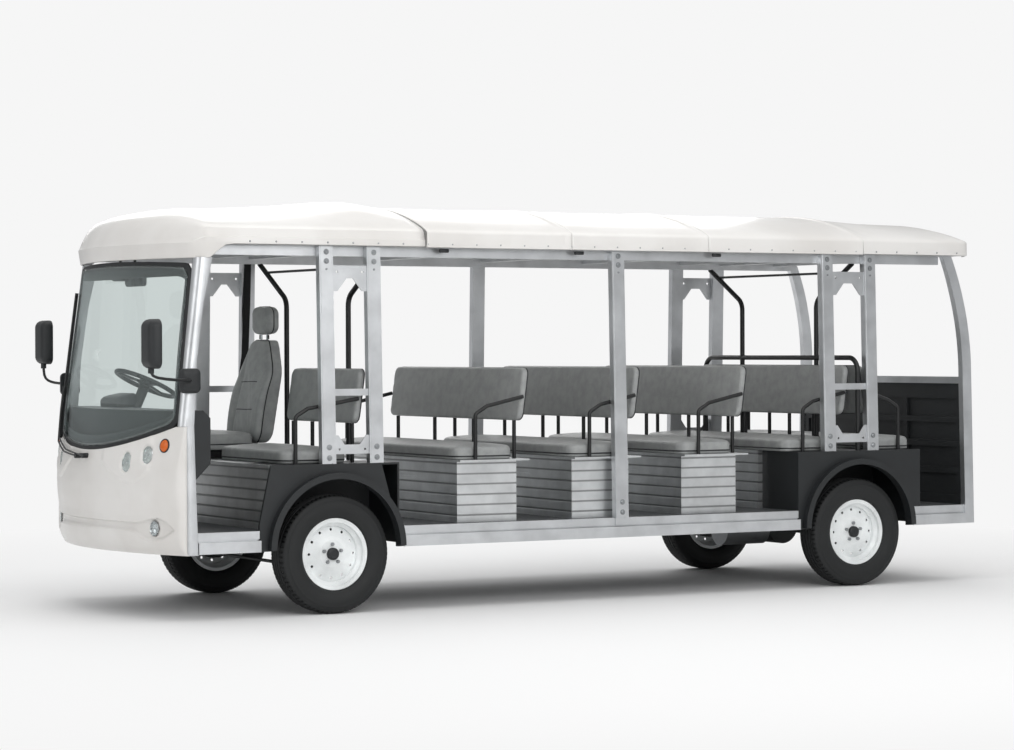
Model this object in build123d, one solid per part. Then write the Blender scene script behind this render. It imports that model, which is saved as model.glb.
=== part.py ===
from build123d import *
import math
import os

# An open-sided electric shuttle bus, right-hand drive, with five forward benches and one that faces back.
# Millimetres. X points forward, Y to the bus's left, Z up; the origin is on the ground,
# under the middle of the whole length and width, mirrors included.

os.makedirs("parts", exist_ok=True)

# Driving dimensions
front_axle_x = 1695
wheelbase = 3760
front_overhang = 1200
rear_overhang = 940
body_half_width = 945
wheel_half_track = 836.5
tyre_radius = 348
body_bottom_z = 375
floor_top_z = 500
seat_deck_z = 875
skirt_bottom_z = 2145
roof_crown_z = 2414
row_pitch = 802
sheet_wall = 12
soft_gap = 0.3
tube_radius = 16

rear_axle_x = front_axle_x - wheelbase
nose_x = front_axle_x + front_overhang
tail_x = rear_axle_x - rear_overhang
cut_over = 60


# Shapes drawn in side view (X, Z), front view (Y, Z) or plan (X, Y).
# A step is a corner, or a pair of points: one that an arc passes through, and its end.
def side_view(pair):
    return (pair[0], 0, pair[1])


def front_view(pair):
    return (0, pair[0], pair[1])


def plan_view(pair):
    return (pair[0], pair[1], 0)


def outline(place, steps):
    edges = []
    at = steps[0]
    for step in steps[1:] + [steps[0]]:
        if isinstance(step[0], tuple):
            via, end = step
            edges.append(ThreePointArc(place(at), place(via), place(end)))
        else:
            end = step
            edges.append(Line(place(at), place(end)))
        at = end
    return make_face(edges)


def across(steps, low_y, high_y):
    face = outline(side_view, steps)
    return Pos(0, low_y, 0) * extrude(face, high_y - low_y, dir=(0, 1, 0))


def lengthways(steps, low_x, high_x):
    face = outline(front_view, steps)
    return Pos(low_x, 0, 0) * extrude(face, high_x - low_x, dir=(1, 0, 0))


def upright(steps, low_z, high_z):
    face = outline(plan_view, steps)
    return Pos(0, 0, low_z) * extrude(face, high_z - low_z, dir=(0, 0, 1))


def block(low, high):
    size = [high[i] - low[i] for i in range(3)]
    centre = [(high[i] + low[i]) / 2 for i in range(3)]
    return Pos(*centre) * Box(*size)


def drum(centre, axis, radius, length):
    return Plane(origin=centre, z_dir=axis) * Cylinder(radius, length)


def tube(points, radius, bend):
    route = FilletPolyline(*points, radius=bend) if len(points) > 2 else Line(*points)
    section = Plane(origin=route @ 0, z_dir=route % 0) * Circle(radius)
    return sweep(section, path=route)


def other_side(part):
    return mirror(part, about=Plane.XZ)


def both_sides(parts):
    return parts + [other_side(part) for part in parts]


def save(name, parts):
    solids = [solid for part in parts for solid in part.solids()]
    export_step(Compound(solids), f"parts/{name}.step")


# The body sides lean inwards towards the roof
lean_foot_z = 450
lean_foot_y = 942
lean_rise = 1650
lean_inset = 47
post_depth = 45


def side_y(z):
    return lean_foot_y - (z - lean_foot_z) * lean_inset / lean_rise


# Plan of the nose: a large arc across, a corner arc each side, straight sides
bow_radius = 2300
bow_corner = 100
bow_clear = 15
bow_axis_x = nose_x - bow_radius


def bow_steps(reach, half_width, corner, back_x):
    swing = bow_radius + reach
    centre_y = half_width - corner
    centre_x = bow_axis_x + math.sqrt((swing - corner) ** 2 - centre_y ** 2)
    angle = math.atan2(centre_y, centre_x - bow_axis_x)
    touch = (bow_axis_x + swing * math.cos(angle), swing * math.sin(angle))
    half_angle = (angle + math.pi / 2) / 2
    middle = (centre_x + corner * math.cos(half_angle), centre_y + corner * math.sin(half_angle))
    return [
        (back_x, half_width),
        (centre_x, half_width),
        (middle, touch),
        ((bow_axis_x + swing, 0), (touch[0], -touch[1])),
        ((middle[0], -middle[1]), (centre_x, -half_width)),
        (back_x, -half_width),
    ]


def bowed(steps):
    # A side-view outline swung about the bow's upright axis; its seam lies behind
    behind = [
        tuple((2 * bow_axis_x - p[0], p[1]) for p in step)
        if isinstance(step[0], tuple)
        else (2 * bow_axis_x - step[0], step[1])
        for step in steps
    ]
    return revolve(outline(side_view, behind), axis=Axis((bow_axis_x, 0, 0), (0, 0, 1)))


# Front face in side view at the middle of the bus: setback of the face behind the nose's tip
bumper_setback = 45
bumper_mid_setback = 12
bumper_top_setback = 10
groove_setback = 24
brow_setback = 14
glass_foot_setback = 18
glass_head_setback = 165
bumper_mid_z = 450
bumper_top_z = 548
groove_z = 562
groove_end_z = 578
face_mid_z = 760
glass_foot_z = 955
glass_head_z = 2060


def face_x(z):
    share = (z - glass_foot_z) / (glass_head_z - glass_foot_z)
    return nose_x - glass_foot_setback - share * (glass_head_setback - glass_foot_setback)


def face_at(y, z):
    swing = face_x(z) - bow_axis_x
    return bow_axis_x + math.sqrt(swing ** 2 - y ** 2)


def face_steps(reach):
    return [
        (nose_x - bumper_setback + reach, body_bottom_z),
        (
            (nose_x - bumper_mid_setback + reach, bumper_mid_z),
            (nose_x - bumper_top_setback + reach, bumper_top_z),
        ),
        (nose_x - groove_setback + reach, groove_z),
        (nose_x - brow_setback + reach, groove_end_z),
        (
            (nose_x + reach, face_mid_z),
            (nose_x - glass_foot_setback + reach, glass_foot_z),
        ),
        (nose_x - glass_head_setback + reach, glass_head_z),
    ]


def backwards(steps):
    # The same open run of steps, taken from its end to its start
    ends = [step[1] if isinstance(step[0], tuple) else step for step in steps]
    run = [ends[-1]]
    for number in range(len(steps) - 1, 0, -1):
        step = steps[number]
        run.append((step[0], ends[number - 1]) if isinstance(step[0], tuple) else ends[number - 1])
    return run


def face_band(outer_reach, inner_reach):
    return bowed(face_steps(outer_reach) + backwards(face_steps(inner_reach)))


# Windscreen: outline in front view, of the seal's outer edge
screen_half_foot = 885
screen_half_head = 838
screen_side_foot_z = 1105
screen_side_head_z = 2035
seal_width = 28
seal_depth = 14
glass_depth = 6
glass_recess = 4
screen_margin = 4
screen_runs = 10
screen_foot_z = glass_foot_z + screen_margin
screen_head_z = glass_head_z - screen_margin


def screen_edge(half, side_z, middle_z):
    # a bowed edge in short straight runs, from right to left
    places = [2 * run / screen_runs - 1 for run in range(screen_runs + 1)]
    return [(half * place, middle_z + (side_z - middle_z) * place ** 2) for place in places]


def screen_steps(inset):
    foot = screen_edge(screen_half_foot - inset, screen_side_foot_z + inset, screen_foot_z + inset)
    head = screen_edge(screen_half_head - inset, screen_side_head_z - inset, screen_head_z - inset)
    return foot + head[::-1]


def screen_prism(inset):
    return lengthways(screen_steps(inset), nose_x - bow_radius / 3, nose_x + cut_over)


screen_block = face_band(0, -seal_depth) & screen_prism(0)
windshield = face_band(-glass_recess, -glass_recess - glass_depth) & screen_prism(seal_width)
windshield_seal = screen_block - screen_prism(seal_width)
save("windshield", [windshield])
save("windshield_seal", [windshield_seal])

# Nose shell below the windscreen, back to the door pillar's front edge
pillar_rear_ahead = 877
pillar_rear_x = front_axle_x + pillar_rear_ahead
pillar_width = 86
nose_back_x = pillar_rear_x + pillar_width


def nose_solid(inset):
    plan = bow_steps(bow_clear - inset, body_half_width - inset, bow_corner - inset, front_axle_x)
    body = upright(plan, body_bottom_z, screen_side_foot_z)
    body = body & block(
        (nose_back_x, -body_half_width, body_bottom_z),
        (nose_x + cut_over, body_half_width, screen_side_foot_z),
    )
    trim = bowed([
        (nose_x + cut_over, body_bottom_z),
        *face_steps(-inset),
        (nose_x + cut_over, glass_head_z),
    ])
    return body - trim


nose_shell = nose_solid(0) - nose_solid(sheet_wall) - screen_prism(0)
save("nose_shell", [nose_shell])

# Door pillars: an upright foot beside the nose, then a rounded leaning part beside the glass
pillar_depth = 40
pillar_edge = 14
pillar_top_z = 2140
pillar_wrap = 52
pillar_head_setback = 132
pillar_mid_z = 1483
pillar_mid_setback = 10
bulge_ahead_share = 0.72
bulge_inward_share = 0.35


def pillar_section(z, rear_x, inner_step):
    outer = side_y(z)
    screen_share = (z - screen_side_foot_z) / (screen_side_head_z - screen_side_foot_z)
    edge_y = screen_half_foot - screen_share * (screen_half_foot - screen_half_head) + soft_gap
    edge_x = face_at(edge_y, z)
    start_x = edge_x - pillar_wrap
    bulge = (
        start_x + pillar_wrap * bulge_ahead_share,
        outer - (outer - edge_y) * bulge_inward_share,
    )
    steps = [
        (rear_x, outer),
        (start_x, outer),
        (bulge, (edge_x, edge_y)),
        (edge_x - inner_step, outer - post_depth),
        (rear_x, outer - post_depth),
    ]
    return Pos(0, 0, z) * outline(plan_view, steps)


pillar_foot = block(
    (pillar_rear_x, body_half_width - pillar_depth, body_bottom_z),
    (nose_back_x, body_half_width, screen_side_foot_z),
)
pillar_foot = fillet(pillar_foot.edges().filter_by(Axis.Z).group_by(Axis.Y)[-1], pillar_edge / 2)
pillar_head = loft(
    [
        pillar_section(screen_side_foot_z, pillar_rear_x + pillar_edge, pillar_width / 3),
        pillar_section(pillar_mid_z, pillar_rear_x - pillar_mid_setback, pillar_width / 3),
        pillar_section(pillar_top_z, pillar_rear_x - pillar_head_setback, pillar_width / 3),
    ],
    ruled=True,
)
a_pillar = pillar_foot + pillar_head - screen_block

# Floor: a flat sheet inside the sills, cut out for the wheel houses
floor_thick = 20
sill_inner_y = 905
house_inner_y = 525
front_house_ahead = 410
rear_house_ahead = 470
house_behind = 425
floor_bottom_z = floor_top_z - floor_thick

floor_plan = bow_steps(
    -sheet_wall - bumper_setback, body_half_width - sheet_wall, bow_corner - sheet_wall, tail_x + cut_over
)
floor = upright(floor_plan, floor_bottom_z, floor_top_z)
floor = floor & block(
    (tail_x + sheet_wall, -sill_inner_y, floor_bottom_z), (nose_x, sill_inner_y, floor_top_z)
)
# each wheel house: axle, reach ahead of the axle
wheel_houses = [(front_axle_x, front_house_ahead), (rear_axle_x, rear_house_ahead)]
for axle_x, ahead in wheel_houses:
    hole = block(
        (axle_x - house_behind, house_inner_y, floor_bottom_z), (axle_x + ahead, body_half_width, floor_top_z)
    )
    floor = floor - hole - other_side(hole)

# Chassis frame: two rails and crossmembers under the floor
rail_inner_y = 400
rail_width = 60
rail_bottom_z = 420
cross_bottom_z = 440
cross_width = 50
frame_front_behind = 230
frame_front_x = nose_x - frame_front_behind
frame_rear_ahead = 72
frame_rear_x = tail_x + frame_rear_ahead

rail_outer_y = rail_inner_y + rail_width
chassis_pieces = both_sides([
    block((frame_rear_x, rail_inner_y, rail_bottom_z), (frame_front_x, rail_outer_y, floor_bottom_z))
])
mid_cross_shares = (0.38, 0.62)
cross_places = [
    frame_front_x - cross_width,
    front_axle_x + front_house_ahead + cross_width,
    front_axle_x - house_behind - 2 * cross_width,
    front_axle_x - wheelbase * mid_cross_shares[0],
    front_axle_x - wheelbase * mid_cross_shares[1],
    rear_axle_x + rear_house_ahead + cross_width,
    rear_axle_x - house_behind - 2 * cross_width,
    frame_rear_x,
]
# each crossmember: a length between the rails and an outrigger each side, welded to them face to face
for cross_x in cross_places:
    chassis_pieces.append(
        block((cross_x, -rail_inner_y, cross_bottom_z), (cross_x + cross_width, rail_inner_y, floor_bottom_z))
    )
    chassis_pieces += both_sides([
        block((cross_x, rail_outer_y, cross_bottom_z), (cross_x + cross_width, sill_inner_y, floor_bottom_z))
    ])
save("chassis_frame", chassis_pieces)

# Side sills: aluminium extrusions with a proud lower band
sill_proud_y = 950
sill_face_y = 925
sill_bottom_z = 380
sill_band_z = 446
sill_groove = 8
sill_groove_depth = 10
rear_pillar_width = 72
arch_front_ahead = 490
arch_front_behind = 437
arch_rear_ahead = 470
arch_rear_behind = 437

sill_steps = [
    (sill_inner_y, sill_bottom_z),
    (sill_proud_y, sill_bottom_z),
    (sill_proud_y, sill_band_z),
    (sill_face_y - sill_groove_depth, sill_band_z),
    (sill_face_y - sill_groove_depth, sill_band_z + sill_groove),
    (sill_face_y, sill_band_z + sill_groove),
    (sill_face_y, floor_top_z),
    (sill_inner_y, floor_top_z),
]
# each sill: rear end, front end
sill_spans = [
    (front_axle_x + arch_front_ahead, pillar_rear_x),
    (rear_axle_x + arch_rear_ahead, front_axle_x - arch_front_behind),
    (tail_x + rear_pillar_width, rear_axle_x - arch_rear_behind),
]
save("sills", both_sides([lengthways(sill_steps, low, high) for low, high in sill_spans]))

# Wheel arches: outer plate with a lip, inner house walls and a deck on top
arch_radius = 400
arch_centre_z = 388
arch_lip = 37
arch_proud_y = 972
arch_plate = 20
arch_top_ahead = 415
arch_top_behind = 297
arch_knee_z = 530
arch_knee_ahead = 490
rear_arch_top_behind = 505
house_wall = 12
house_foot_z = 402


def wheel_arch(axle_x, plate_steps, ahead, behind):
    plate = across(plate_steps, sill_face_y - arch_plate, sill_face_y)
    top_z = seat_deck_z
    lip_outer = arch_radius + arch_lip
    lip = drum(
        (axle_x, (sill_face_y - arch_plate + arch_proud_y) / 2, arch_centre_z),
        (0, 1, 0),
        lip_outer,
        arch_proud_y - sill_face_y + arch_plate,
    )
    lip = lip & block(
        (axle_x - lip_outer, 0, arch_centre_z), (axle_x + lip_outer, arch_proud_y, arch_centre_z + lip_outer)
    )
    opening = drum(
        (axle_x, arch_proud_y - arch_plate, arch_centre_z), (0, 1, 0), arch_radius, 4 * arch_plate + cut_over
    )
    outer = (plate + lip) - opening
    outer = outer - block(
        (axle_x - arch_radius, sill_face_y - 2 * arch_plate, 0),
        (axle_x + arch_radius, arch_proud_y, arch_centre_z),
    )
    house = block(
        (axle_x - behind, house_inner_y, house_foot_z),
        (axle_x + ahead, sill_face_y - arch_plate, top_z),
    )
    room = block(
        (axle_x - behind + house_wall, house_inner_y + house_wall, 0),
        (axle_x + ahead - house_wall, body_half_width, top_z - house_wall),
    )
    return outer + (house - room)


front_plate = [
    (front_axle_x + arch_front_ahead, sill_bottom_z),
    (front_axle_x + arch_knee_ahead, arch_knee_z),
    (front_axle_x + arch_top_ahead, seat_deck_z),
    (front_axle_x - arch_top_behind, seat_deck_z),
    (front_axle_x - arch_front_behind, sill_bottom_z),
]
rear_plate = [
    (rear_axle_x + arch_rear_ahead, sill_bottom_z),
    (rear_axle_x + arch_rear_ahead, seat_deck_z),
    (rear_axle_x - rear_arch_top_behind, seat_deck_z),
    (rear_axle_x - rear_arch_top_behind, floor_top_z),
    (rear_axle_x - arch_rear_behind, floor_top_z),
    (rear_axle_x - arch_rear_behind, sill_bottom_z),
]
front_arch = wheel_arch(front_axle_x, front_plate, front_house_ahead, house_behind)
rear_arch = wheel_arch(rear_axle_x, rear_plate, rear_house_ahead, house_behind)
save("front_arches", both_sides([front_arch]))
save("rear_arches", both_sides([rear_arch]))

# Side posts: straight extrusions from arch or sill up to the roof's flange
post_width = 90
post_groove = 8
# each post: middle of its width, foot height
front_post_ahead = 45
front_post_spacing = 310
middle_post_behind = 1955
rear_post_ahead = 220
rear_post_spacing = 340
post_places = [
    (front_axle_x + front_post_ahead, seat_deck_z),
    (front_axle_x + front_post_ahead - front_post_spacing, seat_deck_z),
    (front_axle_x - middle_post_behind, floor_top_z),
    (rear_axle_x + rear_post_ahead, seat_deck_z),
    (rear_axle_x + rear_post_ahead - rear_post_spacing, seat_deck_z),
]


def side_post(centre_x, foot_z):
    steps = [
        (side_y(foot_z), foot_z),
        (side_y(skirt_bottom_z), skirt_bottom_z),
        (side_y(skirt_bottom_z) - post_depth, skirt_bottom_z),
        (side_y(foot_z) - post_depth, foot_z),
    ]
    post = lengthways(steps, centre_x - post_width / 2, centre_x + post_width / 2)
    groove_steps = [(y + post_depth - post_groove, z) for y, z in steps]
    groove_x = centre_x - post_width / 2 + post_width / 4
    groove = lengthways(groove_steps, groove_x, groove_x + post_groove)
    return post - groove


save("side_posts", both_sides([side_post(x, foot) for x, foot in post_places]))

# Corner plates between paired posts, and the middle post's foot over the sill
plate_wall = 6
plate_hole = 7
plate_hole_inset = 27
# each plate level: bottom, top, depth of the chamfered corner at its open edge
plate_levels = [
    (1880, 2030, 60),
    (1270, 1310, 0),
    (930, 1040, 40),
]
post_pairs = [(post_places[0][0], post_places[1][0]), (post_places[3][0], post_places[4][0])]


def post_plate(front_x, back_x, bottom_z, top_z, corner):
    low_x = back_x + post_width / 2
    high_x = front_x - post_width / 2
    middle_z = (bottom_z + top_z) / 2
    plate = across(
        [(low_x, bottom_z), (high_x, bottom_z), (high_x, top_z), (low_x, top_z)], 0, plate_wall
    )
    if corner:
        notch_half = (high_x - low_x) / 2 - corner / 2
        notch_x = (high_x + low_x) / 2
        open_z = bottom_z if middle_z > pillar_mid_z else top_z
        deep_z = open_z + (middle_z - open_z)
        plate = plate - across(
            [
                (notch_x - notch_half, open_z),
                (notch_x - notch_half + corner, deep_z),
                (notch_x + notch_half - corner, deep_z),
                (notch_x + notch_half, open_z),
            ],
            -cut_over,
            cut_over,
        )
        for hole_x in (low_x + plate_hole_inset, high_x - plate_hole_inset):
            hole_z = middle_z + (middle_z - open_z) / 2
            plate = plate - drum((hole_x, 0, hole_z), (0, 1, 0), plate_hole, cut_over)
    return Pos(0, side_y(middle_z) - plate_wall - post_groove, 0) * plate


plates = [
    post_plate(front_x, back_x, bottom_z, top_z, corner)
    for front_x, back_x in post_pairs
    for bottom_z, top_z, corner in plate_levels
]
foot_x = post_places[2][0]
plates.append(
    block(
        (foot_x - post_width / 2, sill_face_y, sill_band_z + sill_groove),
        (foot_x + post_width / 2, sill_face_y + post_groove, floor_top_z),
    )
)
save("post_plates", both_sides(plates))

# Rear frame: two corner pillars bowed forward at the top, with a rail across
rear_rail_bottom_z = 1300
rear_rail_top_z = 1345
rear_bend_z = 1800
rear_bend_ahead = 42
rear_head_ahead = 150

rear_pillar = across(
    [
        (tail_x, sill_bottom_z),
        (tail_x + rear_pillar_width, sill_bottom_z),
        (tail_x + rear_pillar_width, rear_rail_top_z),
        (
            (tail_x + rear_pillar_width + rear_bend_ahead, rear_bend_z),
            (tail_x + rear_pillar_width + rear_head_ahead, skirt_bottom_z),
        ),
        (tail_x + rear_head_ahead, skirt_bottom_z),
        ((tail_x + rear_bend_ahead, rear_bend_z), (tail_x, rear_rail_top_z)),
    ],
    body_half_width - 2 * post_depth,
    body_half_width,
)
pillar_slope = lengthways(
    [
        (side_y(sill_bottom_z), sill_bottom_z),
        (side_y(skirt_bottom_z), skirt_bottom_z),
        (side_y(skirt_bottom_z) - post_depth, skirt_bottom_z),
        (side_y(sill_bottom_z) - post_depth, sill_bottom_z),
    ],
    tail_x,
    tail_x + rear_pillar_width + rear_head_ahead,
)
rear_pillar = rear_pillar & pillar_slope
panel_half = side_y(sill_bottom_z) - post_depth
rear_rail = block(
    (tail_x, -panel_half, rear_rail_bottom_z), (tail_x + rear_pillar_width, panel_half, rear_rail_top_z)
)
rear_rail = rear_rail & lengthways(
    [
        (-side_y(rear_rail_bottom_z) + post_depth / 2, rear_rail_bottom_z),
        (side_y(rear_rail_bottom_z) - post_depth / 2, rear_rail_bottom_z),
        (side_y(rear_rail_top_z) - post_depth / 2, rear_rail_top_z),
        (-side_y(rear_rail_top_z) + post_depth / 2, rear_rail_top_z),
    ],
    tail_x,
    tail_x + rear_pillar_width,
)
rear_frame = rear_pillar + other_side(rear_pillar) + rear_rail
save("rear_frame", [rear_frame])
save("floor", [floor - rear_frame])

# Rear panel outside and its moulded lining inside
lining_depth = 48
lining_pocket = 14
panel_slope = [
    (-side_y(sill_bottom_z) + post_depth, sill_bottom_z),
    (side_y(sill_bottom_z) - post_depth, sill_bottom_z),
    (side_y(rear_rail_bottom_z) - post_depth, rear_rail_bottom_z),
    (-side_y(rear_rail_bottom_z) + post_depth, rear_rail_bottom_z),
]
rear_panel = lengthways(panel_slope, tail_x, tail_x + sheet_wall)
lining_foot_z = floor_top_z
lining = lengthways(panel_slope, tail_x + sheet_wall, tail_x + sheet_wall + lining_depth)
lining = lining & block(
    (tail_x, -body_half_width, lining_foot_z), (tail_x + cut_over * 2, body_half_width, rear_rail_bottom_z)
)
# each pocket row: bottom, top
pocket_rows = [(560, 700), (740, 880), (920, 1040), (1080, 1200)]
pocket_columns = 3
pocket_rib = 40
pocket_half = side_y(rear_rail_bottom_z) - post_depth - pocket_rib
pocket_width = (2 * pocket_half - (pocket_columns - 1) * pocket_rib) / pocket_columns
for pocket_low, pocket_high in pocket_rows:
    for column in range(pocket_columns):
        pocket_y = -pocket_half + column * (pocket_width + pocket_rib)
        lining = lining - block(
            (tail_x + sheet_wall + lining_depth - lining_pocket, pocket_y, pocket_low),
            (tail_x + sheet_wall + lining_depth + cut_over, pocket_y + pocket_width, pocket_high),
        )
save("rear_panel", [rear_panel])
save("rear_lining", [lining])

# Roof: crowned shells on an inward flange that lies on posts and rails
roof_half_width = 930
roof_shoulder_z = 2235
roof_crease_z = 2262
roof_crease_y = 872
flange_inner_y = 775
roof_joint = 4
cap_rear_behind = 600
cap_rear_x = front_axle_x - cap_rear_behind


def crown_steps(crown_z, inset, foot_z):
    return [
        (-roof_half_width + inset, foot_z),
        (roof_half_width - inset, foot_z),
        (roof_half_width - inset, roof_shoulder_z - inset),
        (roof_crease_y - inset, roof_crease_z - inset),
        ((0, crown_z - inset), (-roof_crease_y + inset, roof_crease_z - inset)),
        (-roof_half_width + inset, roof_shoulder_z - inset),
    ]


def crown_section(x, crown_z, inset, foot_z):
    return Pos(x, 0, 0) * outline(front_view, crown_steps(crown_z, inset, foot_z))


def roof_length(low_x, high_x, crown_z):
    shell = lengthways(crown_steps(crown_z, 0, skirt_bottom_z), low_x, high_x)
    hollow = lengthways(crown_steps(crown_z, sheet_wall, skirt_bottom_z + sheet_wall), low_x, high_x)
    slot = block(
        (low_x, -flange_inner_y, skirt_bottom_z), (high_x, flange_inner_y, skirt_bottom_z + sheet_wall)
    )
    return shell - hollow - slot


# each roof panel: rear end and front end behind the front axle
panel_spans = [(1600, 600), (2600, 1600), (3800, 2600)]
panels = [
    roof_length(front_axle_x - behind, front_axle_x - ahead - roof_joint, roof_crown_z)
    for behind, ahead in panel_spans
]

# Rear cap: the last length of roof, closed at the back
rear_cap_x = front_axle_x - panel_spans[-1][0] - roof_joint
rear_cap_drop = 38


def rear_cap_solid(inset, foot_z):
    return loft(
        [
            crown_section(rear_cap_x, roof_crown_z, inset, foot_z),
            crown_section(tail_x + inset, roof_crown_z - rear_cap_drop, inset, foot_z),
        ],
        ruled=True,
    )


rear_cap = rear_cap_solid(0, skirt_bottom_z) - rear_cap_solid(sheet_wall, skirt_bottom_z + sheet_wall)
rear_cap = rear_cap - block(
    (tail_x + cut_over, -flange_inner_y, skirt_bottom_z),
    (rear_cap_x, flange_inner_y, skirt_bottom_z + sheet_wall),
)
save("roof_panels", panels + [rear_cap])

# Front cap: rises to a hump at its rear edge, and curves down over the windscreen
cap_lip_reach = -155
cap_brow_reach = -135
cap_top_reach = -300
cap_brow_z = 2150
cap_curve_z = 2285
cap_curve_reach = -175
cap_top_z = 2345
cap_corner = 170
cap_front_crown_z = 2360
cap_mid_crown_z = 2392
cap_hump_z = 2445
cap_hump_behind = 360
cap_mid_ahead = 350
cap_skirt_ahead = 690
cap_drop_ahead = 790


def cap_solid(inset, foot_z):
    sections = [
        crown_section(nose_x, cap_front_crown_z, inset, foot_z),
        crown_section(front_axle_x + cap_mid_ahead, cap_mid_crown_z, inset, foot_z),
        crown_section(front_axle_x - cap_hump_behind, cap_hump_z, inset, foot_z),
        crown_section(cap_rear_x, roof_crown_z, inset, foot_z),
    ]
    body = loft(sections, ruled=True)
    plan = bow_steps(cap_brow_reach + bow_clear - inset, roof_half_width - inset, cap_corner - inset, cap_rear_x)
    body = body & upright(plan, foot_z, cap_hump_z)
    trim = bowed([
        (nose_x + cap_lip_reach - inset, glass_head_z - cut_over),
        (nose_x + cap_lip_reach - inset, glass_head_z),
        (nose_x + cap_brow_reach - inset, cap_brow_z),
        (
            (nose_x + cap_curve_reach - inset, cap_curve_z - inset),
            (nose_x + cap_top_reach - inset, cap_top_z - inset),
        ),
        (front_axle_x + cap_mid_ahead, cap_hump_z + cut_over),
        (nose_x + cut_over, cap_hump_z + cut_over),
        (nose_x + cut_over, glass_head_z - cut_over),
    ])
    return body - trim


front_cap = cap_solid(0, glass_head_z) - cap_solid(sheet_wall, glass_head_z)
front_cap = front_cap - across(
    [
        (cap_rear_x, glass_head_z),
        (front_axle_x + cap_drop_ahead, glass_head_z),
        (front_axle_x + cap_skirt_ahead, skirt_bottom_z),
        (cap_rear_x, skirt_bottom_z),
    ],
    -body_half_width,
    body_half_width,
)
cap_flange = block(
    (cap_rear_x, flange_inner_y, skirt_bottom_z),
    (front_axle_x + cap_skirt_ahead, roof_half_width - sheet_wall / 2, skirt_bottom_z + sheet_wall),
)
front_cap = front_cap + cap_flange + other_side(cap_flange)
save("roof_front_cap", [front_cap])
save("a_pillars", both_sides([a_pillar - front_cap]))

# Roof frame: side rails, cross bows at the posts and a bowed header over the glass
roof_rail_bottom_z = 2085
roof_rail_width = 50
bow_depth = 30
bow_width = 40
header_depth = 40
header_gap = 16
roof_rail_y = side_y(skirt_bottom_z) - post_depth
roof_rail_front_ahead = 830
roof_rail_front_x = front_axle_x + roof_rail_front_ahead

roof_rail = block(
    (tail_x + rear_pillar_width + rear_head_ahead, roof_rail_y - roof_rail_width, roof_rail_bottom_z),
    (roof_rail_front_x, roof_rail_y, skirt_bottom_z),
)
roof_rail = roof_rail - a_pillar
roof_pieces = both_sides([roof_rail])
# bows between the posts' own, measured back from the front axle
bow_between = [-555, 1110, 2750, 4335]
bow_places = [x for x, foot in post_places] + [front_axle_x - behind for behind in bow_between]
for bow_x in bow_places:
    roof_pieces.append(
        block(
            (bow_x - bow_width / 2, -roof_rail_y + roof_rail_width, skirt_bottom_z - bow_depth),
            (bow_x + bow_width / 2, roof_rail_y - roof_rail_width, skirt_bottom_z),
        )
    )
header_outer_x = nose_x + cap_lip_reach - sheet_wall - header_gap
header = bowed([
    (header_outer_x, glass_head_z + sheet_wall),
    (header_outer_x, skirt_bottom_z - sheet_wall / 2),
    (header_outer_x - header_depth, skirt_bottom_z - sheet_wall / 2),
    (header_outer_x - header_depth, glass_head_z + sheet_wall),
])
header = header & block(
    (front_axle_x, -roof_rail_y + roof_rail_width / 2, 0),
    (nose_x, roof_rail_y - roof_rail_width / 2, skirt_bottom_z),
)
roof_pieces.append(header - roof_rail - other_side(roof_rail) - a_pillar - other_side(a_pillar))
save("roof_frame", roof_pieces)

# Seat boxes: hollow aluminium boxes with a deck that the cushions lie on
box_half_width = 840
box_depth = 410
box_wall = 12
deck_thick = 10
deck_behind = 70
deck_half_width = 880
front_row_behind = 849
front_row_x = front_axle_x - front_row_behind
vent_height = 14
vent_half = 330
# heights of the black slots in each forward face
vent_levels = [600, 760]


def seat_box(front_x, half_width, depth):
    back_x = front_x - depth
    box = block((back_x, -half_width, floor_top_z), (front_x, half_width, seat_deck_z - deck_thick))
    room = block(
        (back_x + box_wall, -half_width + box_wall, floor_top_z),
        (front_x - box_wall, half_width - box_wall, seat_deck_z - deck_thick),
    )
    return box - room


def vented(box, front_x):
    for level in vent_levels:
        box = box - block(
            (front_x - box_wall / 2, -vent_half, level), (front_x + box_wall, vent_half, level + vent_height)
        )
    return box


boxes = []
for row in range(3):
    box_x = front_row_x - row * row_pitch
    box = seat_box(box_x, box_half_width, box_depth)
    deck = block(
        (box_x - box_depth - deck_behind, -deck_half_width, seat_deck_z - deck_thick),
        (box_x, deck_half_width, seat_deck_z),
    )
    boxes.append(vented(box, box_x) + deck)
# the last forward row and the backward row share one box between the rear wheel houses
rear_row_x = front_row_x - 3 * row_pitch
rear_box_depth = rear_row_x - (rear_axle_x - house_behind)
rear_box = vented(seat_box(rear_row_x, house_inner_y, rear_box_depth), rear_row_x)
rear_box = rear_box + block(
    (rear_axle_x - house_behind, -house_inner_y, seat_deck_z - deck_thick),
    (rear_row_x, house_inner_y, seat_deck_z),
)
boxes.append(rear_box)
# the driver's row: a full-width ribbed front panel and a box between the front wheel houses
base_front_x = front_axle_x + front_house_ahead
base_box = seat_box(base_front_x, house_inner_y, front_house_ahead + house_behind)
base_box = base_box + block(
    (front_axle_x - house_behind, -house_inner_y, seat_deck_z - deck_thick),
    (base_front_x, house_inner_y, seat_deck_z),
)
base_panel = block(
    (base_front_x, -sill_inner_y, floor_top_z), (base_front_x + box_wall, sill_inner_y, seat_deck_z)
)
boxes.append(base_box + base_panel)
save("seat_boxes", boxes)

# Bench cushions and backs: plain soft solids
cushion_height = 85
cushion_depth = 400
cushion_half = 842
cushion_corner = 70
bench_inner_y = -85
cushion_ahead = 8
back_foot_z = 1105
back_head_z = 1427
back_thick = 60
back_lean = 44
back_corner = 45
back_behind = 14


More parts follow.
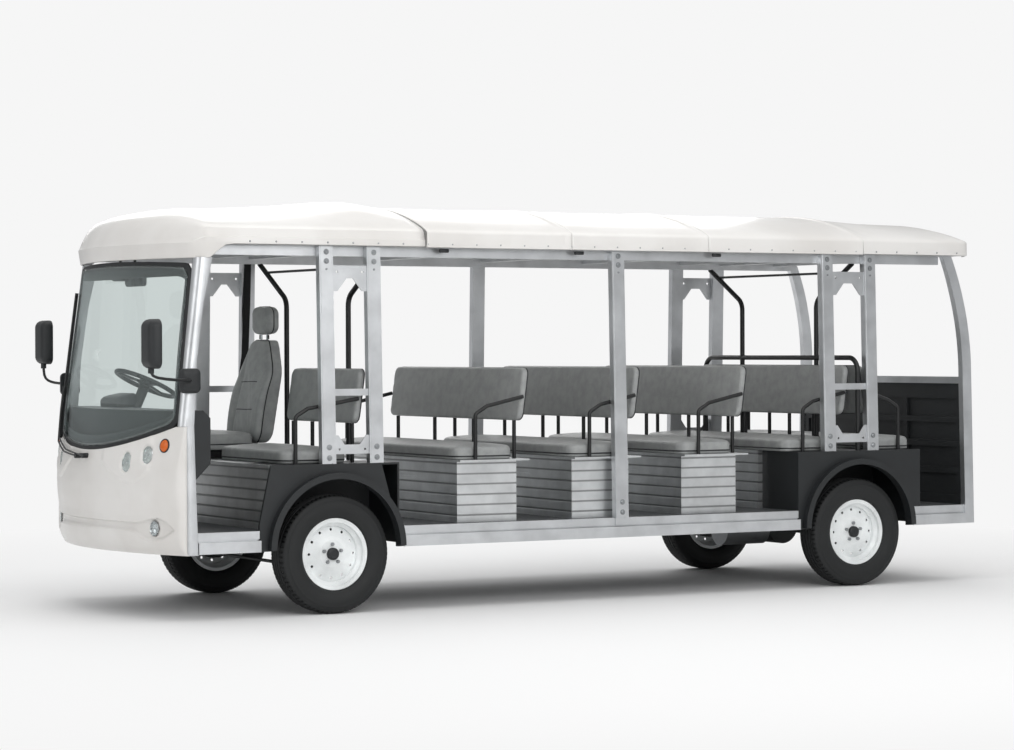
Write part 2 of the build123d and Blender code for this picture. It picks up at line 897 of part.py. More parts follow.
def cushion(front_x, back_x, low_y, high_y):
    pad = block((back_x, low_y, seat_deck_z + soft_gap), (front_x, high_y, seat_deck_z + cushion_height))
    return fillet(pad.edges().filter_by(Axis.Z), cushion_corner)


def bench_back(foot_x, facing, low_y, high_y):
    # foot_x is the lower front edge; facing is 1 forward, -1 backward
    lean = -facing * back_lean
    thick = -facing * back_thick
    slab = across(
        [
            (foot_x, back_foot_z),
            (foot_x + lean, back_head_z),
            (foot_x + lean + thick, back_head_z),
            (foot_x + thick, back_foot_z),
        ],
        low_y,
        high_y,
    )
    window_steps = [
        (low_y, back_foot_z + back_corner),
        (low_y, back_head_z - back_corner),
        (low_y + back_corner, back_head_z),
        (high_y - back_corner, back_head_z),
        (high_y, back_head_z - back_corner),
        (high_y, back_foot_z + back_corner),
        (high_y - back_corner, back_foot_z),
        (low_y + back_corner, back_foot_z),
    ]
    low_x = foot_x - 3 * back_thick
    return slab & lengthways(window_steps, low_x, low_x + 6 * back_thick)


first_back_behind = 1262
first_back_x = front_axle_x - first_back_behind
cushions = []
backs = []
for row in range(4):
    row_x = front_row_x - row * row_pitch
    cushions.append(
        cushion(row_x + cushion_ahead, row_x + cushion_ahead - cushion_depth, -cushion_half, cushion_half)
    )
    backs.append(bench_back(first_back_x - row * row_pitch, 1, -cushion_half, cushion_half))
bench_front_ahead = 300
bench_front_x = front_axle_x + bench_front_ahead
bench_back_behind = 125
bench_back_x = front_axle_x - bench_back_behind
cushions.append(cushion(bench_front_x, bench_back_x, bench_inner_y, cushion_half))
front_back_behind = 150
backs.append(bench_back(front_axle_x - front_back_behind, 1, bench_inner_y, cushion_half))
last_back_behind = 3925
last_back_x = front_axle_x - last_back_behind
last_cushion_rear_behind = 4262
last_cushion_rear_x = front_axle_x - last_cushion_rear_behind
cushions.append(
    cushion(last_back_x - back_behind, last_cushion_rear_x, -cushion_half, cushion_half)
)
backs.append(bench_back(last_back_x, -1, -cushion_half, cushion_half))
save("bench_cushions", cushions)
save("bench_backs", backs)

# Seat frames: black legs under each back, and arm rests at both ends
leg_radius = 12
leg_shares = (-0.95, -0.32, 0.32, 0.95)
arm_y = 857
arm_behind_front = 118
arm_knee_z = 1150
arm_bend_z = 1197
arm_end_z = 1251
arm_bend_back = 80
arm_length = 330
arm_bend_radius = 30


def legs(foot_x, facing, low_y, high_y):
    middle_y = (low_y + high_y) / 2
    half = (high_y - low_y) / 2
    leg_x = foot_x - facing * back_thick / 2
    return [
        drum(
            (leg_x, middle_y + share * (half - back_corner), (seat_deck_z + back_foot_z) / 2),
            (0, 0, 1),
            leg_radius,
            back_foot_z - seat_deck_z,
        )
        for share in leg_shares
    ]


def arm_rest(post_x, facing):
    route = [
        (post_x, arm_y, seat_deck_z),
        (post_x, arm_y, arm_knee_z),
        (post_x - facing * arm_bend_back, arm_y, arm_bend_z),
        (post_x - facing * arm_length, arm_y, arm_end_z),
    ]
    return tube(route, leg_radius, arm_bend_radius)


frames = []
for row in range(4):
    row_x = front_row_x - row * row_pitch
    frames += legs(first_back_x - row * row_pitch, 1, -cushion_half, cushion_half)
    frames += both_sides([arm_rest(row_x - arm_behind_front, 1)])
frames += legs(last_back_x, -1, -cushion_half, cushion_half)
last_arm_behind = 4137
last_arm_x = front_axle_x - last_arm_behind
frames += both_sides([
    tube(
        [
            (last_arm_x, arm_y, seat_deck_z),
            (last_arm_x, arm_y, arm_knee_z),
            (last_arm_x + arm_bend_back, arm_y, arm_bend_z),
            (last_back_x + back_thick / 2, arm_y, arm_end_z),
        ],
        leg_radius,
        arm_bend_radius,
    )
])
front_leg_behind = 150
front_leg_x = front_axle_x - front_leg_behind
frames += legs(front_leg_x, 1, bench_inner_y, cushion_half)
front_arm_ahead = 228
front_arm_x = front_axle_x + front_arm_ahead
frames.append(
    tube(
        [
            (front_arm_x, arm_y, seat_deck_z),
            (front_arm_x, arm_y, arm_knee_z),
            (front_arm_x - arm_bend_back, arm_y, arm_bend_z),
            (front_leg_x - back_thick / 2, arm_y, arm_end_z),
        ],
        leg_radius,
        arm_bend_radius,
    )
)

# Driver's seat on the right: a black riser, cushion, back and headrest
driver_y = -420
driver_half = 235
riser_height = 50
driver_cushion_height = 95
driver_front_ahead = 440
driver_front_x = front_axle_x + driver_front_ahead
driver_cushion_depth = 450
driver_back_foot_ahead = 30
driver_back_foot_x = front_axle_x + driver_back_foot_ahead
driver_back_head_behind = 120
driver_back_head_x = front_axle_x - driver_back_head_behind
driver_back_head_z = 1605
driver_back_thick = 105
driver_head_half = 130
headrest_low_z = 1632
headrest_high_z = 1813
headrest_thick = 95
headrest_corner = 40
driver_seat_z = seat_deck_z + riser_height

frames.append(
    block(
        (driver_front_x - driver_cushion_depth, driver_y - driver_half + post_depth, seat_deck_z),
        (driver_front_x - post_depth, driver_y + driver_half - post_depth, driver_seat_z),
    )
)
# a recliner bracket under each side of the driver's back
driver_back_foot_z = driver_seat_z + driver_cushion_height / 3
recliner_width = 40
for recliner_y in (driver_y - driver_half + post_depth, driver_y + driver_half - post_depth - recliner_width):
    frames.append(
        block(
            (driver_back_foot_x - headrest_corner - driver_back_thick, recliner_y, seat_deck_z),
            (
                driver_front_x - driver_cushion_depth,
                recliner_y + recliner_width,
                driver_back_foot_z - soft_gap,
            ),
        )
    )
save("seat_frames", frames)

driver_cushion = block(
    (driver_front_x - driver_cushion_depth, driver_y - driver_half, driver_seat_z + soft_gap),
    (driver_front_x, driver_y + driver_half, driver_seat_z + driver_cushion_height),
)
driver_cushion = fillet(driver_cushion.edges().filter_by(Axis.Z), headrest_corner)
driver_back = across(
    [
        (driver_back_foot_x - headrest_corner, driver_back_foot_z),
        (driver_back_head_x, driver_back_head_z),
        (driver_back_head_x - driver_back_thick, driver_back_head_z),
        (driver_back_foot_x - headrest_corner - driver_back_thick, driver_back_foot_z),
    ],
    driver_y - driver_half,
    driver_y + driver_half,
)
shoulder_z = driver_back_head_z - driver_half
driver_back = driver_back & lengthways(
    [
        (driver_y - driver_half, driver_back_foot_z),
        (driver_y - driver_half, shoulder_z),
        (driver_y - driver_head_half, driver_back_head_z),
        (driver_y + driver_head_half, driver_back_head_z),
        (driver_y + driver_half, shoulder_z),
        (driver_y + driver_half, driver_back_foot_z),
    ],
    front_axle_x - front_overhang,
    nose_x,
)
driver_back = driver_back - block(
    (driver_front_x - driver_cushion_depth - soft_gap, driver_y - driver_half, driver_back_foot_z),
    (driver_front_x, driver_y + driver_half, driver_seat_z + driver_cushion_height + soft_gap),
)
headrest_x = driver_back_head_x - driver_back_thick / 2
headrest = block(
    (headrest_x - headrest_thick / 2, driver_y - driver_head_half, headrest_low_z),
    (headrest_x + headrest_thick / 2, driver_y + driver_head_half, headrest_high_z),
)
headrest = fillet(headrest.edges().filter_by(Axis.X), headrest_corner)
save("driver_cushion", [driver_cushion])
save("driver_back", [driver_back])
save("driver_headrest", [headrest])

# Headrest stalks and tube hoops behind the first and last rows
stalk_radius = 6
stalk_half = 60
stalks = [
    drum(
        (headrest_x, driver_y + side * stalk_half, (driver_back_head_z + headrest_low_z) / 2),
        (0, 0, 1),
        stalk_radius,
        headrest_low_z - driver_back_head_z - 2 * soft_gap,
    )
    for side in (-1, 1)
]
hoop_half = 430
hoop_bend_z = 1850
hoop_top_z = 2085
hoop_bar_z = 2030
hoop_bend = 90
low_hoop_top_z = 1475
low_hoop_half = 883
hoop_mount_y = roof_rail_y - roof_rail_width / 2


def roof_hoop(x, foot_z):
    leg = tube(
        [(x, hoop_half, foot_z), (x, hoop_half, hoop_bend_z), (x, hoop_mount_y, hoop_top_z)],
        tube_radius,
        hoop_bend,
    )
    return leg


front_hoop_behind = 332
front_hoop_x = front_axle_x - front_hoop_behind
rear_hoop_behind = 3792
rear_hoop_x = front_axle_x - rear_hoop_behind
hoops = both_sides([roof_hoop(front_hoop_x, seat_deck_z), roof_hoop(rear_hoop_x, seat_deck_z)])
bar_half = hoop_half + (hoop_mount_y - hoop_half) * (hoop_bar_z - hoop_bend_z) / (hoop_top_z - hoop_bend_z)
hoops += [
    tube([(x, -bar_half + tube_radius, hoop_bar_z), (x, bar_half - tube_radius, hoop_bar_z)], tube_radius / 2, 0)
    for x in (front_hoop_x, rear_hoop_x)
]
low_hoop = tube(
    [
        (rear_hoop_x, -low_hoop_half, seat_deck_z),
        (rear_hoop_x, -low_hoop_half, low_hoop_top_z),
        (rear_hoop_x, low_hoop_half, low_hoop_top_z),
        (rear_hoop_x, low_hoop_half, seat_deck_z),
    ],
    tube_radius,
    hoop_bend,
)
fused = low_hoop
for piece in hoops:
    fused = fused + piece
for piece in roof_pieces:
    fused = fused - piece
save("hoops", [fused] + stalks)

# Dashboard behind the glass, and the steering column
dash_back_ahead = 760
dash_back_x = front_axle_x + dash_back_ahead
dash_inset = 96
dash_bottom_z = 800
dash_top_z = 1195
dash_slope = 90
column_radius = 32
wheel_tilt = 25
wheel_centre_ahead = 625
wheel_centre_z = 1335
wheel_centre = (front_axle_x + wheel_centre_ahead, driver_y, wheel_centre_z)
wheel_radius = 205
wheel_grip = 14
hub_radius = 45
hub_thick = 30
column_foot_z = floor_top_z

dash_plan = bow_steps(-dash_inset, body_half_width - dash_inset, bow_corner, dash_back_x)
dashboard = upright(dash_plan, dash_bottom_z, dash_top_z)
dashboard = dashboard & across(
    [
        (dash_back_x, dash_bottom_z + dash_slope),
        (dash_back_x, dash_top_z - dash_slope / 2),
        (dash_back_x + dash_slope / 2, dash_top_z),
        (nose_x, dash_top_z),
        (nose_x, dash_bottom_z),
        (dash_back_x + dash_slope, dash_bottom_z),
    ],
    -body_half_width,
    body_half_width,
)
tilt = math.radians(wheel_tilt)
column_way = Vector(math.sin(tilt), 0, -math.cos(tilt))
column_start = Vector(*wheel_centre) + column_way * (hub_thick / 2 + 1)
column_end = Vector(*wheel_centre) + column_way * ((wheel_centre[2] - column_foot_z) / math.cos(tilt))
column_middle = (column_start + column_end) * 0.5
column_length = (column_end - column_start).length + 2 * column_radius
column = drum(tuple(column_middle), tuple(column_way), column_radius, column_length)
column = column - drum(
    tuple(column_start - column_way * cut_over / 2), tuple(column_way), column_radius * 2, cut_over
)
column = column & block(
    (front_axle_x, driver_y - cut_over, column_foot_z),
    (nose_x, driver_y + cut_over, wheel_centre[2] + cut_over),
)
column_room = drum(tuple(column_middle), tuple(column_way), column_radius + soft_gap, column_length)
dashboard = dashboard - column_room
save("dashboard", [dashboard])
save("steering_column", [column])

# Steering wheel: a ring, three spokes and a hub
wheel_plane = Plane(origin=wheel_centre, x_dir=(0, 1, 0), z_dir=tuple(column_way))
ring = wheel_plane * Torus(wheel_radius - wheel_grip, wheel_grip)
hub = wheel_plane * Cylinder(hub_radius, hub_thick)
spoke_thick = 12
spoke_width = 34
steering_wheel = ring + hub
for spoke_angle in (0, 120, 240):
    spoke = Rot(0, 0, spoke_angle) * Pos((wheel_radius - wheel_grip) / 2, 0, 0)
    spoke = spoke * Box(wheel_radius - wheel_grip, spoke_width, spoke_thick)
    steering_wheel = steering_wheel + wheel_plane * spoke
save("steering_wheel", [steering_wheel])

# Outside mirrors: a foot on each door pillar, an arm and an upright head
mirror_y = 1180
mirror_height = 275
mirror_width = 165
mirror_thick = 75
mirror_corner = 38
mirror_foot_height = 120
mirror_foot_width = 90
mirror_foot_depth = 50
arm_radius = 11
mirror_arm_bend = 45
# each mirror: name, side, foot height, head's middle ahead of the front axle, its height
mirrors = [
    ("mirror_left", 1, 1365, 1267, 1574),
    ("mirror_right", -1, 1330, 1000, 1590),
]
for name, side, foot_z, head_ahead, head_z in mirrors:
    outer = side_y(foot_z)
    foot_x = pillar_rear_x + pillar_width / 2
    foot_low = foot_z - mirror_foot_height / 2
    foot_high = foot_z + mirror_foot_height / 2
    slope = lengthways(
        [
            (side_y(foot_low) + soft_gap, foot_low),
            (outer + mirror_foot_depth, foot_low),
            (outer + mirror_foot_depth, foot_high),
            (side_y(foot_high) + soft_gap, foot_high),
        ],
        foot_x - mirror_foot_width / 2,
        foot_x + mirror_foot_width / 2,
    )
    head_x = front_axle_x + head_ahead
    head_low = head_z - mirror_height / 2
    elbow_z = head_low - mirror_arm_bend * 2
    arm = tube(
        [
            (foot_x, outer + mirror_foot_depth / 2, foot_z),
            (foot_x + (head_x - foot_x) / 4, mirror_y - mirror_arm_bend, foot_z),
            (head_x, mirror_y, foot_z),
            (head_x, mirror_y, head_low + mirror_corner),
        ],
        arm_radius,
        mirror_arm_bend / 2,
    )
    head = block(
        (head_x - mirror_thick / 2, mirror_y - mirror_width / 2, head_low),
        (head_x + mirror_thick / 2, mirror_y + mirror_width / 2, head_z + mirror_height / 2),
    )
    head = fillet(head.edges().filter_by(Axis.X), mirror_corner)
    mirror_part = slope + arm + head
    save(name, [mirror_part if side > 0 else other_side(mirror_part)])

# Wiper: a spindle boss under the glass, an arm and a blade that rest beside the far pillar
wiper_boss_radius = 16
wiper_rod = 6
wiper_stand = 14
wiper_lift = 36
wiper_pivot_y = -70
wiper_pivot_z = 925
wiper_arm_y = -560
wiper_arm_z = 1010
wiper_top_y = -770
wiper_top_z = 1900


def off_glass(y, z, stand):
    return (face_at(y, z) + stand, y, z)


boss_x = face_at(wiper_pivot_y, wiper_pivot_z)
boss = drum((boss_x, wiper_pivot_y, wiper_pivot_z), (1, 0, 0), wiper_boss_radius, 2 * wiper_lift + sheet_wall)
boss = boss - nose_solid(0)
wiper_arm = tube(
    [
        off_glass(wiper_pivot_y, wiper_pivot_z, wiper_lift),
        off_glass(wiper_arm_y, wiper_arm_z, wiper_lift),
        off_glass(wiper_top_y, wiper_top_z, wiper_stand),
    ],
    wiper_rod,
    wiper_stand * 2,
)
save("wiper", [boss + wiper_arm])

# Lamps: thin lenses on the nose and the rear panel
lens_proud = 7
# each front lamp: middle across, middle height, half width, half height
front_lamps = [
    (514, 898, 40, 62),
    (692, 948, 34, 50),
    (842, 985, 34, 34),
]
tail_lamp_y = 760
tail_lamp_z = 1000
tail_lamp_width = 110
tail_lamp_height = 260
lamp_reach_behind = 400
lamp_reach = nose_x - lamp_reach_behind
lens_band = bowed([
    (nose_x + lens_proud, body_bottom_z),
    (nose_x + lens_proud, face_mid_z),
    (nose_x - glass_foot_setback + lens_proud, glass_foot_z),
    (nose_x - glass_foot_setback + lens_proud, screen_side_foot_z),
    (nose_x - 3 * sheet_wall, screen_side_foot_z),
    (nose_x - 3 * sheet_wall, body_bottom_z),
])
lamps = []
for lamp_y, lamp_z, half_y, half_z in front_lamps:
    shape = Pos(lamp_reach, lamp_y, lamp_z) * (Plane.YZ * Ellipse(half_y, half_z))
    lens = extrude(shape, nose_x + cut_over - lamp_reach, dir=(1, 0, 0)) & lens_band
    lens = lens - nose_solid(0)
    lamps.append(max(lens.solids(), key=lambda solid: solid.center().X))
lamps.append(
    block(
        (tail_x - lens_proud, tail_lamp_y - tail_lamp_width / 2, tail_lamp_z - tail_lamp_height / 2),
        (tail_x, tail_lamp_y + tail_lamp_width / 2, tail_lamp_z + tail_lamp_height / 2),
    )
)
save("lamps", both_sides(lamps))

# Wheels: pressed steel rims with twelve vent holes, and radial tyres
tyre_half_width = 97.5
rim_flange_radius = 206
bead_radius = 190.5
well_radius = 170
rim_half_width = 70.5
rim_wall = 5
flange_wall = 4.5
bead_half = 46
well_outer = 34
well_inner = -20
disc_edge = 12
vent_circle = 142
vent_offset = 16
vent_radius = 8
vent_count = 12
hub_face_offset = 34
hub_face_radius = 80
hub_slope_radius = 102
hub_slope_offset = 26
spindle_radius = 31.7
spindle_gap = 0.3
tread_edge = 66
shoulder_radius = 331
shoulder_offset = 84
wall_bulge_radius = 268
tread_drop = 3
tyre_foot_radius = 208

rim_steps = [
    (rim_flange_radius, rim_half_width),
    (rim_flange_radius, rim_half_width - flange_wall),
    (bead_radius, rim_half_width - flange_wall),
    (bead_radius, bead_half),
    (well_radius, well_outer),
    (well_radius, well_inner),
    (bead_radius, -bead_half),
    (bead_radius, -rim_half_width + flange_wall),
    (rim_flange_radius, -rim_half_width + flange_wall),
    (rim_flange_radius, -rim_half_width),
    (bead_radius - rim_wall, -rim_half_width),
    (bead_radius - rim_wall, -bead_half),
    (well_radius - rim_wall, well_inner),
    (well_radius - rim_wall, disc_edge - rim_wall),
    (vent_circle, vent_offset - rim_wall),
    (hub_slope_radius, hub_slope_offset - rim_wall),
    (hub_face_radius, hub_face_offset - rim_wall),
    (spindle_radius + spindle_gap, hub_face_offset - rim_wall),
    (spindle_radius + spindle_gap, hub_face_offset),
    (hub_face_radius, hub_face_offset),
    (hub_slope_radius, hub_slope_offset),
    (vent_circle, vent_offset),
    (well_radius - rim_wall, disc_edge),
    (well_radius - rim_wall, well_outer),
    (bead_radius - rim_wall, bead_half),
    (bead_radius - rim_wall, rim_half_width),
]
tyre_steps = [
    (bead_radius, -rim_half_width + flange_wall),
    (rim_flange_radius, -rim_half_width + flange_wall),
    (tyre_foot_radius, -rim_half_width),
    ((wall_bulge_radius, -tyre_half_width), (shoulder_radius, -shoulder_offset)),
    (tyre_radius - tread_drop, -tread_edge),
    ((tyre_radius, 0), (tyre_radius - tread_drop, tread_edge)),
    (shoulder_radius, shoulder_offset),
    ((wall_bulge_radius, tyre_half_width), (tyre_foot_radius, rim_half_width)),
    (rim_flange_radius, rim_half_width - flange_wall),
    (bead_radius, rim_half_width - flange_wall),
]


def wheel_view(pair):
    return (pair[0], pair[1], 0)


rim = revolve(outline(wheel_view, rim_steps), axis=Axis.Y)
for hole in range(vent_count):
    turn = 2 * math.pi * hole / vent_count
    place = (vent_circle * math.cos(turn), vent_offset, vent_circle * math.sin(turn))
    rim = rim - drum(place, (0, 1, 0), vent_radius, cut_over)
tyre = revolve(outline(wheel_view, tyre_steps), axis=Axis.Y)
# each wheel: name, axle, side
wheels = [
    ("front_left", front_axle_x, 1),
    ("front_right", front_axle_x, -1),
    ("rear_left", rear_axle_x, 1),
    ("rear_right", rear_axle_x, -1),
]
for name, axle_x, side in wheels:
    place = Pos(axle_x, wheel_half_track, tyre_radius)
    for piece_name, piece in (("rim", rim), ("tyre", tyre)):
        placed = place * piece
        save(f"{piece_name}_{name}", [placed if side > 0 else other_side(placed)])

# Brake drums and spindles that carry the wheels
brake_radius = 125
brake_inner = -55
brake_face = hub_face_offset - rim_wall - spindle_gap
spindle_end = 52


def brake(axle_x):
    back_y = wheel_half_track + brake_inner
    face_y = wheel_half_track + brake_face
    end_y = wheel_half_track + spindle_end
    shell = drum((axle_x, (back_y + face_y) / 2, tyre_radius), (0, 1, 0), hub_face_radius, face_y - back_y)
    wide_face_y = wheel_half_track + vent_offset - rim_wall - 2 * rim_wall
    shell = shell + drum(
        (axle_x, (back_y + wide_face_y) / 2, tyre_radius), (0, 1, 0), brake_radius, wide_face_y - back_y
    )
    return shell + drum(
        (axle_x, (back_y + end_y) / 2, tyre_radius), (0, 1, 0), spindle_radius, end_y - back_y
    )


# Front axle: a beam with an eye at each end, and knuckles on kingpins
kingpin_y = 750
kingpin_radius = 12
eye_radius = 24
eye_half_height = 36
beam_half = 30
ear_low = 38
ear_high = 58
web_inner = 32
steer_arm_ahead = 150
steer_arm_width = 30
steer_arm_thick = 12
steer_arm_inset = 15
arm_eye_radius = 18

beam_end_share = 0.8
beam_end_half = eye_radius * beam_end_share
beam_neck = beam_half + eye_radius
front_axle = block(
    (front_axle_x - beam_half, -kingpin_y + beam_neck, tyre_radius - beam_half),
    (front_axle_x + beam_half, kingpin_y - beam_neck, tyre_radius + beam_half),
)
for side in (-1, 1):
    eye_y = side * kingpin_y
    neck_y = side * (kingpin_y - beam_neck)
    front_axle = front_axle + block(
        (front_axle_x - beam_end_half, min(eye_y, neck_y), tyre_radius - beam_half),
        (front_axle_x + beam_end_half, max(eye_y, neck_y), tyre_radius + beam_half),
    )
    front_axle = front_axle + drum(
        (front_axle_x, eye_y, tyre_radius), (0, 0, 1), eye_radius, 2 * eye_half_height
    )
    front_axle = front_axle - drum(
        (front_axle_x, eye_y, tyre_radius), (0, 0, 1), kingpin_radius + spindle_gap, 4 * eye_half_height
    )
save("front_axle", [front_axle])

knuckle = brake(front_axle_x)
knuckle = knuckle + drum((front_axle_x, kingpin_y, tyre_radius), (0, 0, 1), kingpin_radius, 2 * ear_high)
for ear_z in (tyre_radius + ear_low, tyre_radius - ear_high):
    ear_top = ear_z + ear_high - ear_low
    knuckle = knuckle + drum(
        (front_axle_x, kingpin_y, (ear_z + ear_top) / 2), (0, 0, 1), eye_radius, ear_high - ear_low
    )
    knuckle = knuckle + block(
        (front_axle_x - eye_radius, kingpin_y, ear_z), (front_axle_x + eye_radius, wheel_half_track, ear_top)
    )
knuckle = knuckle + block(
    (front_axle_x - eye_radius, kingpin_y + web_inner, tyre_radius - ear_high),
    (front_axle_x + eye_radius, wheel_half_track, tyre_radius + ear_high),
)
arm_top_z = tyre_radius - ear_high + steer_arm_thick
arm_end_x = front_axle_x + steer_arm_ahead
arm_end_y = kingpin_y - steer_arm_inset
steer_arm = upright(
    [
        (front_axle_x, kingpin_y - steer_arm_width / 2),
        (arm_end_x, arm_end_y - steer_arm_width / 2),
        (arm_end_x, arm_end_y + steer_arm_width / 2),
        (front_axle_x, kingpin_y + steer_arm_width / 2),
    ],
    tyre_radius - ear_high,
    arm_top_z,
)
steer_arm = steer_arm + drum(
    (arm_end_x, arm_end_y, tyre_radius - ear_high + steer_arm_thick / 2), (0, 0, 1), arm_eye_radius, steer_arm_thick
)
knuckle = knuckle + steer_arm
save("knuckle_left", [knuckle])
save("knuckle_right", [other_side(knuckle)])

# Tie rod under the arms' ends; its eyes pass under them with a gap
tie_gap = 0.3
tie_radius = 10
tie_eye_height = 22
tie_z = tyre_radius - ear_high - tie_gap - tie_eye_height / 2
tie_rod = drum((arm_end_x, 0, tie_z), (0, 1, 0), tie_radius, 2 * arm_end_y)
for side in (-1, 1):
    tie_rod = tie_rod + drum((arm_end_x, side * arm_end_y, tie_z), (0, 0, 1), arm_eye_radius, tie_eye_height)
save("tie_rod", [tie_rod])

# Rear axle: a tube with a final-drive housing between the brake drums, and the motor ahead of it
axle_tube_radius = 40
final_drive_radius = 120
final_drive_half = 90
motor_radius = 102
motor_length = 340
motor_z = 330
final_drive_face_share = 0.95
motor_back_x = rear_axle_x + final_drive_radius * final_drive_face_share
rear_axle_middle = (rear_axle_x, 0, tyre_radius)
rear_axle = drum(rear_axle_middle, (0, 1, 0), axle_tube_radius, 2 * (wheel_half_track + brake_inner))
rear_axle = rear_axle + drum(rear_axle_middle, (0, 1, 0), final_drive_radius, 2 * final_drive_half)
for part in both_sides([brake(rear_axle_x)]):
    rear_axle = rear_axle + part
rear_axle = rear_axle & block(
    (rear_axle_x - tyre_radius, -body_half_width, 0),
    (motor_back_x, body_half_width, floor_bottom_z),
)
save("rear_axle", [rear_axle])
drive_motor = drum(
    (motor_back_x + motor_length / 2, 0, motor_z), (1, 0, 0), motor_radius, motor_length
)
save("drive_motor", [drive_motor])

# Leaf springs between each axle and the rails
spring_width = 56
spring_thick = 14
spring_half = 430
spring_block = 50


def leaf_spring(axle_x, seat_z):
    end_z = rail_bottom_z - spring_thick
    steps = [
        (axle_x - spring_half, end_z),
        ((axle_x, seat_z), (axle_x + spring_half, end_z)),
        (axle_x + spring_half, rail_bottom_z),
        (axle_x + spring_half - spring_block, rail_bottom_z),
        ((axle_x, seat_z + spring_thick), (axle_x - spring_half + spring_block, rail_bottom_z)),
        (axle_x - spring_half, rail_bottom_z),
    ]
    middle_y = rail_inner_y + rail_width / 2
    return across(steps, middle_y - spring_width / 2, middle_y + spring_width / 2)


springs = both_sides([
    leaf_spring(front_axle_x, tyre_radius + beam_half),
    leaf_spring(rear_axle_x, tyre_radius + axle_tube_radius),
])
save("leaf_springs", springs)

# Battery packs: plain blocks inside two of the seat boxes
battery_gap = 20
battery_height = 260
batteries = []
for row in (1, 2):
    box_x = front_row_x - row * row_pitch
    batteries.append(
        block(
            (box_x - box_depth + box_wall + battery_gap, -box_half_width + cut_over * 2, floor_top_z),
            (box_x - box_wall - battery_gap, box_half_width - cut_over * 2, floor_top_z + battery_height),
        )
    )
save("battery_pack", batteries)
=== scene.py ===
import math

import bmesh
import bpy
from mathutils import Matrix, Vector


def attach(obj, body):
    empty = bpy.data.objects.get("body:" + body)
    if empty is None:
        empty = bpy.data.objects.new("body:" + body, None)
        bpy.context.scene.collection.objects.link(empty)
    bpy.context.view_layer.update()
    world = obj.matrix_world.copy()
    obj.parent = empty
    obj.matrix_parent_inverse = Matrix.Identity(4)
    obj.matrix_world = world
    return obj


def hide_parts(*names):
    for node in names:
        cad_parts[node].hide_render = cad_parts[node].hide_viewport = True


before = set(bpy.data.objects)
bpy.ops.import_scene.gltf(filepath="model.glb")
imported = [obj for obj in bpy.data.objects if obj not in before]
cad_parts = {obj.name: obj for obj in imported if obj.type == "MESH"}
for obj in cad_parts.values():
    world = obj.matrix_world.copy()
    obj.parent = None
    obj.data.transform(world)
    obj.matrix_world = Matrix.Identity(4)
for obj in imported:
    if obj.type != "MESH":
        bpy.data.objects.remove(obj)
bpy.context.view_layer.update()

# Camera and studio
# A long lens about sixteen metres from the near front corner, at a standing person's eye height,
# over a plain pale floor that runs into an even pale background.
camera_place = Vector((9.1696, 15.9496, 1.5422))
camera_yaw = 0.521
camera_pitch = 0.0092
camera_roll = -0.0033
camera_lens = 102.32
camera_forward = Vector((
    -math.sin(camera_yaw) * math.cos(camera_pitch),
    -math.cos(camera_yaw) * math.cos(camera_pitch),
    -math.sin(camera_pitch),
))
level_right = camera_forward.cross(Vector((0, 0, 1))).normalized()
level_up = level_right.cross(camera_forward)
camera_right = math.cos(camera_roll) * level_right + math.sin(camera_roll) * level_up
camera_up = math.cos(camera_roll) * level_up - math.sin(camera_roll) * level_right
camera_data = bpy.data.cameras.new("camera")
camera_data.sensor_width = 36
camera_data.lens = camera_lens
camera_data.clip_end = 200
camera = bpy.data.objects.new("camera", camera_data)
camera_turn = Matrix((camera_right, camera_up, -camera_forward)).transposed().to_4x4()
camera.matrix_world = Matrix.Translation(camera_place) @ camera_turn
bpy.context.collection.objects.link(camera)
bpy.context.scene.camera = camera
bpy.context.scene.view_settings.view_transform = "Standard"


def paint(code, alpha=1.0):
    # an sRGB hex colour turned to linear light
    parts = [int(code[at:at + 2], 16) / 255 for at in (1, 3, 5)]
    linear = [part / 12.92 if part <= 0.04045 else ((part + 0.055) / 1.055) ** 2.4 for part in parts]
    return tuple(linear) + (alpha,)


def add(tree, kind, inputs=None, **settings):
    # one shader node, with its settings, plain values and links
    made = tree.nodes.new("ShaderNode" + kind)
    for name, value in settings.items():
        setattr(made, name, value)
    for name, value in (inputs or {}).items():
        if isinstance(value, bpy.types.NodeSocket):
            tree.links.new(value, made.inputs[name])
        else:
            made.inputs[name].default_value = value
    return made


backdrop_colour = paint("#F6F6F6")
world = bpy.data.worlds.new("studio")
world.use_nodes = True
bpy.context.scene.world = world
sky = world.node_tree
sky.nodes.clear()
ray = add(sky, "LightPath")
seen = add(sky, "Math", {
    0: ray.outputs["Is Camera Ray"],
    1: ray.outputs["Is Transmission Ray"],
}, operation="MAXIMUM")
plain = add(sky, "Background", {"Color": backdrop_colour, "Strength": 1.0})
height = add(sky, "SeparateXYZ", {0: add(sky, "TexCoord").outputs["Generated"]})
# soft boxes overhead and a darker studio near the horizon, as bright metal shows them
glow = add(sky, "ValToRGB", {0: height.outputs["Z"]})
glow.color_ramp.elements[0].position = 0.0
glow.color_ramp.elements[0].color = paint("#B2B4B6")
glow.color_ramp.elements[1].position = 0.7
glow.color_ramp.elements[1].color = paint("#F4F4F4")
room = add(sky, "Background", {"Color": glow.outputs[0], "Strength": 0.8})
both = add(sky, "MixShader", {0: seen.outputs[0], 1: room.outputs[0], 2: plain.outputs[0]})
add(sky, "OutputWorld", {0: both.outputs[0]})

